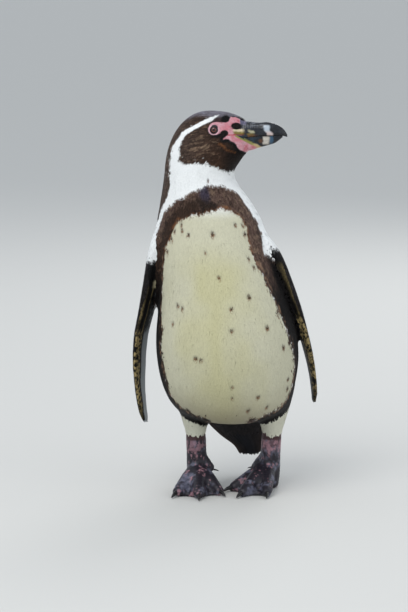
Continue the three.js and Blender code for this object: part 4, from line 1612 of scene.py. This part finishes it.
@dataclass
class EyeBall:
    """A wet eye: a ball with a slightly raised cornea, a dark pupil and a red-brown iris."""

    place: EyePlace
    pupil: float = 1.5
    iris: float = 3.0

    def build(self) -> Object:
        """Makes the ball, with its rings round the way it looks.

        Returns:
            The object, without a material.
        """
        rise = np.linspace(0.03, math.pi - 0.03, 64)[:, None]
        size = self.place.radius - 0.1 + 0.35 * ramp(4.6, 2.4, self.place.radius * rise)
        shape = lofted(self.place.ring(size * np.sin(rise), size * np.cos(rise), full_turn(64)[None, :]))
        away, _ = self.place.polar(shape.points)
        ray = noise(shape.points * (1, 0.25, 1), 0.5, 131)
        iris = mix(linear("#3f1812"), linear("#7a3a28"), ramp(1.5, 2.8, away) * 0.7)
        iris = iris * (1 + 0.25 * ray)[:, None]
        tint = mix(linear("#060405"), iris, ramp(self.pupil - 0.15, self.pupil + 0.15, away))
        tint = mix(tint, linear("#0d0808"), ramp(self.iris - 0.3, self.iris + 0.3, away))
        return make_object(f"eye_ball_{self.place.side}", shape, np.clip(tint, 0, 1))


@dataclass
class Claw:
    """A curved claw that grows out of a toe's end and narrows to a blunt point."""

    node: str
    sunk: float = 3.0  # how far its root reaches back into the toe

    def build(self) -> Object:
        """Carries an oval section along the claw's bent middle line, which is read from its solid.

        Returns:
            The object, without a material.
        """
        points = read_node(self.node).points
        away = np.linalg.norm((points - self.ankle())[:, :2], axis=1)
        root = points[away < away.min() + 2.5].mean(axis=0)
        tip = points[away > away.max() - 1.0].mean(axis=0)
        ahead = unit((tip - root) * (1, 1, 0))
        length = float(np.linalg.norm((tip - root)[:2]))
        root = root - ahead * self.sunk
        across = np.cross(ahead, UP)
        t = np.linspace(0, 1, 26)[:, None]
        a = full_turn(20)[None, :]
        girth = length * 0.30 * (1 - 0.25 * t) * np.sqrt(1 - t**2.6 * 0.985)
        middle = (length + self.sunk) * t
        drop = (root[2] - tip[2]) * t**2
        wide = girth * 0.82 * np.cos(a)
        tall = girth * np.sin(a) * np.where(np.sin(a) < 0, 0.8, 1.0)
        grid = root + middle[..., None] * ahead + wide[..., None] * across + (tall - drop)[..., None] * UP
        grid[..., 2] = np.maximum(grid[..., 2], 0.25)
        shape = lofted(grid)
        wave = noise(shape.points, 1.6, 141)
        tint = linear("#1c1a1c") * (1 + 0.3 * wave)[:, None]
        return make_object(self.node.replace("claw", "nail"), shape, np.clip(tint, 0.002, 0.9))

    def ankle(self) -> Array:
        """The middle of the top of the foot that the claw belongs to."""
        points = read_node("foot_right" if "right" in self.node else "foot_left").points
        return points[points[:, 2] > 60].mean(axis=0)


@dataclass
class TailFan:
    """The stiff long tail feathers: narrow blades side by side, in a row above and a row below."""

    count: int = 13
    thick: float = 0.8
    lean: float = math.radians(22)
    rows: tuple = (
        # down the tail: across, back, up, half width and half thickness
        (13.4, 66.0, 100.0, 41.5, 15.0),
        (14.4, 74.6, 84.0, 39.0, 11.3),
        (22.4, 86.1, 61.0, 28.4, 5.9),
        (32.4, 93.6, 43.0, 18.6, 2.9),
        (35.9, 99.0, 26.2, 13.8, 1.5),
    )

    def build(self) -> Object:
        """Carries a flat ridged section along each feather, which keeps its share of the tail's width.

        Returns:
            All blades as one object, without a material.
        """
        whole = Shape(np.zeros((0, 3)))
        tones = []
        rnd = np.random.default_rng(11)
        t = np.linspace(0, 1, 34)
        table = curve(np.linspace(0, 1, len(self.rows)), np.array(self.rows), t)
        x, y, z, half, thick = table.T
        for layer in (-1, 1):
            for s in np.linspace(-0.93, 0.93, self.count) + 0.03 * layer:
                end = 1 - 0.025 * abs(rnd.normal()) - 0.03 * s * s
                deep = layer * (0.80 * thick * math.sqrt(1 - s * s) + 0.35)
                back, up = deep * math.cos(self.lean), deep * math.sin(self.lean)
                line = np.stack([x + half * s, y + back, z + up], axis=1)
                line = np.stack([np.interp(t * end, t, line[:, k]) for k in range(3)], axis=1)
                ahead = unit(np.gradient(line, axis=0))
                across = unit(np.cross(ahead, np.array([0.25 * s * layer, 1.0, 0.4])))
                out = np.cross(across, ahead) * -layer
                wide = np.interp(t * end, t, half) * 1.25 / self.count + 1.1
                wide = wide * np.sqrt(np.clip(1 - t**9, 0.02, 1))
                a = full_turn(12)[None, :, None]
                ridge = 1 + 1.3 * bell(np.cos(a), 0, 0.25) * (np.sin(a) > 0)
                grid = line[:, None] + wide[:, None, None] * np.cos(a) * across[:, None]
                grid = grid + 0.5 * self.thick * np.sin(a) * ridge * out[:, None]
                blade = lofted(grid)
                whole = whole.joined(blade)
                tone = mix(linear("#15161b"), linear("#2c2320"), np.full(len(blade.points), abs(s) ** 2))
                tone = tone * (1 + 0.2 * rnd.normal() + 0.3 * noise(blade.points, 5, 151))[:, None]
                tones.append(np.clip(tone, 0.003, 0.9))
        return make_object("tail_feathers", whole, np.concatenate(tones))


# -------- finishes


def add_node(tree: NodeTree, kind: str, inputs: dict | None = None, **settings: object) -> Node:
    """Adds a node with its settings and links.

    Args:
        tree: The node tree.
        kind: The node's type.
        inputs: For each input by name or number, a value or the socket to link from.
        **settings: The node's own settings.

    Returns:
        The node.
    """
    node = tree.nodes.new(kind)
    for key, value in settings.items():
        setattr(node, key, value)
    for key, value in (inputs or {}).items():
        if isinstance(value, NodeSocket):
            tree.links.new(value, node.inputs[key])
        else:
            node.inputs[key].default_value = value
    return node


class Finish:
    """What the finishes share: a material of one shader, fed with what surface() gives."""

    name: str

    def surface(self, tree: NodeTree) -> dict:
        """Adds the nodes that the finish needs, and returns the shader's inputs."""
        raise NotImplementedError

    def material(self) -> Material:
        """Builds the material from its shader and the nodes of its surface."""
        made = bpy.data.materials.new(self.name)
        made.use_nodes = True
        tree = made.node_tree
        tree.nodes.clear()
        shader = add_node(tree, "ShaderNodeBsdfPrincipled", self.surface(tree))
        add_node(tree, "ShaderNodeOutputMaterial", {"Surface": shader.outputs[0]})
        return made


@dataclass(frozen=True)
class FeatherFinish(Finish):
    """Feather keratin grown in barbs: a soft, slightly silky surface with a fine herringbone."""

    name: str = "feather keratin, barbed vane"
    roughness: float = 0.62
    sheen: float = 0.03
    barbs: float = 9.0  # barbs along one vane: real ones stand 0.3 mm apart, here about 1 mm to show

    def surface(self, tree: NodeTree) -> dict:
        """The coat's colour with fine mottling, and barbs as bump."""
        add = partial(add_node, tree)
        paint = add("ShaderNodeVertexColor", layer_name="coat").outputs["Color"]
        place = add("ShaderNodeTexCoord").outputs["Object"]
        grain = add("ShaderNodeTexNoise", {"Vector": place, "Scale": 900.0, "Detail": 2.0})
        mottle = {"Value": grain.outputs["Fac"], "To Min": 0.86, "To Max": 1.12}
        shade = add("ShaderNodeMapRange", mottle).outputs["Result"]
        tint = add("ShaderNodeVectorMath", {0: paint, 1: shade}, operation="MULTIPLY")
        vane = add("ShaderNodeUVMap", uv_map="Vane").outputs["UV"]
        split = add("ShaderNodeSeparateXYZ", {0: vane}).outputs
        off = add("ShaderNodeMath", {0: split["X"], 1: 0.5}, operation="SUBTRACT").outputs[0]
        away = add("ShaderNodeMath", {0: off}, operation="ABSOLUTE").outputs[0]
        slant = add("ShaderNodeMath", {0: split["Y"], 1: away}, operation="SUBTRACT").outputs[0]
        turns = add("ShaderNodeMath", {0: slant, 1: self.barbs * math.tau}, operation="MULTIPLY").outputs[0]
        wave = add("ShaderNodeMath", {0: turns}, operation="SINE").outputs[0]
        bump = add("ShaderNodeBump", {"Height": wave, "Strength": 0.25, "Distance": 0.0002})
        return {
            "Base Color": tint.outputs[0], "Roughness": self.roughness, "Normal": bump.outputs["Normal"],
            "Sheen Weight": self.sheen, "Sheen Roughness": 0.4, "IOR": 1.5, "Specular IOR Level": 0.14,
        }  # fmt: skip


@dataclass(frozen=True)
class SkinFinish(Finish):
    """Bare bird skin: leathery and finely creased, with a dull shine over the scales of the feet."""

    name: str = "bare leathery skin"
    roughness: float = 0.46
    crease: float = 1.2  # millimetres between the fine creases

    def surface(self, tree: NodeTree) -> dict:
        """The markings' colour with painted shade in the creases, which are also bump."""
        add = partial(add_node, tree)
        paint = add("ShaderNodeVertexColor", layer_name="coat").outputs["Color"]
        place = add("ShaderNodeTexCoord").outputs["Object"]
        lattice = {"Vector": place, "Scale": 1000.0 / self.crease}
        cells = add("ShaderNodeTexVoronoi", lattice, feature="DISTANCE_TO_EDGE").outputs["Distance"]
        # painted shade: the colour darkens towards the creases between the cells
        depth = {"Value": cells, "From Max": 0.25, "To Min": 0.72, "To Max": 1.05}
        shade = add("ShaderNodeMapRange", depth).outputs["Result"]
        tint = add("ShaderNodeVectorMath", {0: paint, 1: shade}, operation="MULTIPLY")
        bump = add("ShaderNodeBump", {"Height": shade, "Strength": 0.35, "Distance": 0.0003})
        return {
            "Base Color": tint.outputs[0], "Roughness": self.roughness, "Normal": bump.outputs["Normal"],
            "IOR": 1.45, "Specular IOR Level": 0.4,
        }  # fmt: skip


@dataclass(frozen=True)
class HornFinish(Finish):
    """Horn worn smooth by preening: a satin shine with fine scratches along its length."""

    name: str = "bill horn, worn smooth"
    roughness: float = 0.27
    scratch: float = 0.5  # millimetres between scratches

    def surface(self, tree: NodeTree) -> dict:
        """The horn's colour, and scratches stretched along the bill as bump."""
        add = partial(add_node, tree)
        paint = add("ShaderNodeVertexColor", layer_name="coat").outputs["Color"]
        place = add("ShaderNodeTexCoord").outputs["Object"]
        along = add("ShaderNodeMapping", {"Vector": place, "Scale": (0.2, 1.0, 1.0)}).outputs[0]
        scratches = {"Vector": along, "Scale": 1000.0 / self.scratch / 2, "Detail": 3.0}
        grain = add("ShaderNodeTexNoise", scratches).outputs["Fac"]
        wear = {"Value": grain, "To Min": self.roughness - 0.1, "To Max": self.roughness + 0.14}
        rough = add("ShaderNodeMapRange", wear).outputs["Result"]
        bump = add("ShaderNodeBump", {"Height": grain, "Strength": 0.2, "Distance": 0.0002})
        return {
            "Base Color": paint, "Roughness": rough, "Normal": bump.outputs["Normal"],
            "IOR": 1.54, "Specular IOR Level": 0.35,
        }  # fmt: skip


@dataclass(frozen=True)
class EyeFinish(Finish):
    """A living eye's wet surface: a clear sharp highlight over the iris."""

    name: str = "wet eye"

    def surface(self, tree: NodeTree) -> dict:
        """The ball's colour under a smooth clear coat."""
        paint = add_node(tree, "ShaderNodeVertexColor", layer_name="coat").outputs["Color"]
        return {
            "Base Color": paint, "Roughness": 0.12, "IOR": 1.376,
            "Coat Weight": 1.0, "Coat Roughness": 0.02, "Coat IOR": 1.34,
        }  # fmt: skip


@dataclass(frozen=True)
class FloorFinish(Finish):
    """Matt studio paint: an almost white ground that takes the shadow without a shine."""

    name: str = "studio floor, matt paint"
    paint: str = "#c9c8c4"

    def surface(self, tree: NodeTree) -> dict:
        """One even colour, which needs no node of its own."""
        return {"Base Color": rgba(self.paint), "Roughness": 0.85}


# -------- studio


@dataclass
class Studio:
    """A plain pale floor, soft lamps and the camera."""

    target: tuple[float, float, float] = (-0.0296, 0.0, 0.253)
    distance: float = 3.6
    view_height: float = 0.8323  # metres that the view takes in at the target
    floor_radius: float = 30000.0  # millimetres
    floor_corners: int = 96

    def build(self) -> None:
        """Sets up the floor, the light and the camera."""
        self.floor()
        self.lamps()
        self.camera()

    def floor(self) -> None:
        """Lays a wide round floor, matt and almost white."""
        turn, n = full_turn(self.floor_corners), self.floor_corners
        rim = np.stack([np.cos(turn), np.sin(turn), 0 * turn], axis=-1) * self.floor_radius
        index = np.arange(n)
        tris = np.stack([index, np.roll(index, -1), np.full(n, n)], axis=1)
        floor = make_object("floor", Shape(np.concatenate([rim, np.zeros((1, 3))]), tris))
        floor.data.materials.append(FloorFinish().material())

    def lamps(self) -> None:
        """Hangs a large soft key lamp, a fill and a back lamp, with a pale sky all round."""
        world = bpy.data.worlds.new("soft sky")
        world.use_nodes = True
        sky = world.node_tree.nodes["Background"].inputs
        sky["Color"].default_value = rgba("#dfe6ee")
        sky["Strength"].default_value = 0.95
        bpy.context.scene.world = world
        for name, place, size, power in (
            ("key", (-1.0, -1.7, 2.7), 2.2, 48.0),
            ("fill", (2.4, -1.6, 1.2), 2.2, 8.0),
            ("back", (0.9, 2.2, 1.9), 1.6, 22.0),
        ):
            lamp = bpy.data.lights.new(name, "AREA")
            lamp.shape = "DISK"
            lamp.size = size
            lamp.energy = power
            holder = add_object(name, lamp)
            holder.location = place
            away = np.subtract(place, self.target)
            yaw = math.atan2(away[1], away[0]) + math.pi / 2
            holder.rotation_euler = (math.atan2(math.hypot(away[0], away[1]), away[2]), 0.0, yaw)

    def camera(self) -> None:
        """Looks level across the bird from a little above, through a long lens."""
        lens = bpy.data.cameras.new("camera")
        lens.sensor_fit = "VERTICAL"
        lens.sensor_height = 36.0
        lens.lens = lens.sensor_height * self.distance / self.view_height
        lens.clip_end = 100.0
        camera = add_object("camera", lens)
        x, y, z = self.target
        reach = self.distance * math.cos(DRAWING_TILT)
        camera.location = (x, y - reach, z + self.distance * math.sin(DRAWING_TILT))
        camera.rotation_euler = (math.pi / 2 - DRAWING_TILT, 0.0, 0.0)
        bpy.context.scene.camera = camera
        bpy.context.scene.view_settings.view_transform = "Standard"


def main() -> None:
    """Builds the bird piece by piece, and the studio round it."""
    chart = Chart()
    plumage = Plumage(chart, HeadPlace(), Tints())
    eyes = [EyePlace("right"), EyePlace("left")]
    feather, bare, horn = FeatherFinish().material(), SkinFinish().material(), HornFinish().material()
    skin = Skin(eyes, plumage)
    dress(skin.build(), "foot_skin", bare, *FLESH)
    slots = {"flipper": "plumage_flipper", "head": "plumage_dark", "tail": "plumage_dark"}
    for piece in Coat(skin, plumage).build():
        dress(piece, slots.get(piece.name.split("_")[1], "plumage_white"), feather)
    dress(TailFan().build(), "plumage_dark", feather)
    upper, lower = Bill(plumage).build()
    dress(upper, "horn", horn, "bill_upper")
    dress(lower, "horn", horn, "bill_lower")
    wet = EyeFinish().material()
    for eye in eyes:
        dress(EyeBall(eye).build(), "eye", wet, f"eye_{eye.side}")
    for node in sorted(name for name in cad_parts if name.startswith("claw_")):
        dress(Claw(node).build(), "horn", horn, node)
    Studio().build()


if __name__ == "__main__":
    logging.basicConfig(level=logging.INFO, format="%(message)s")
    main()
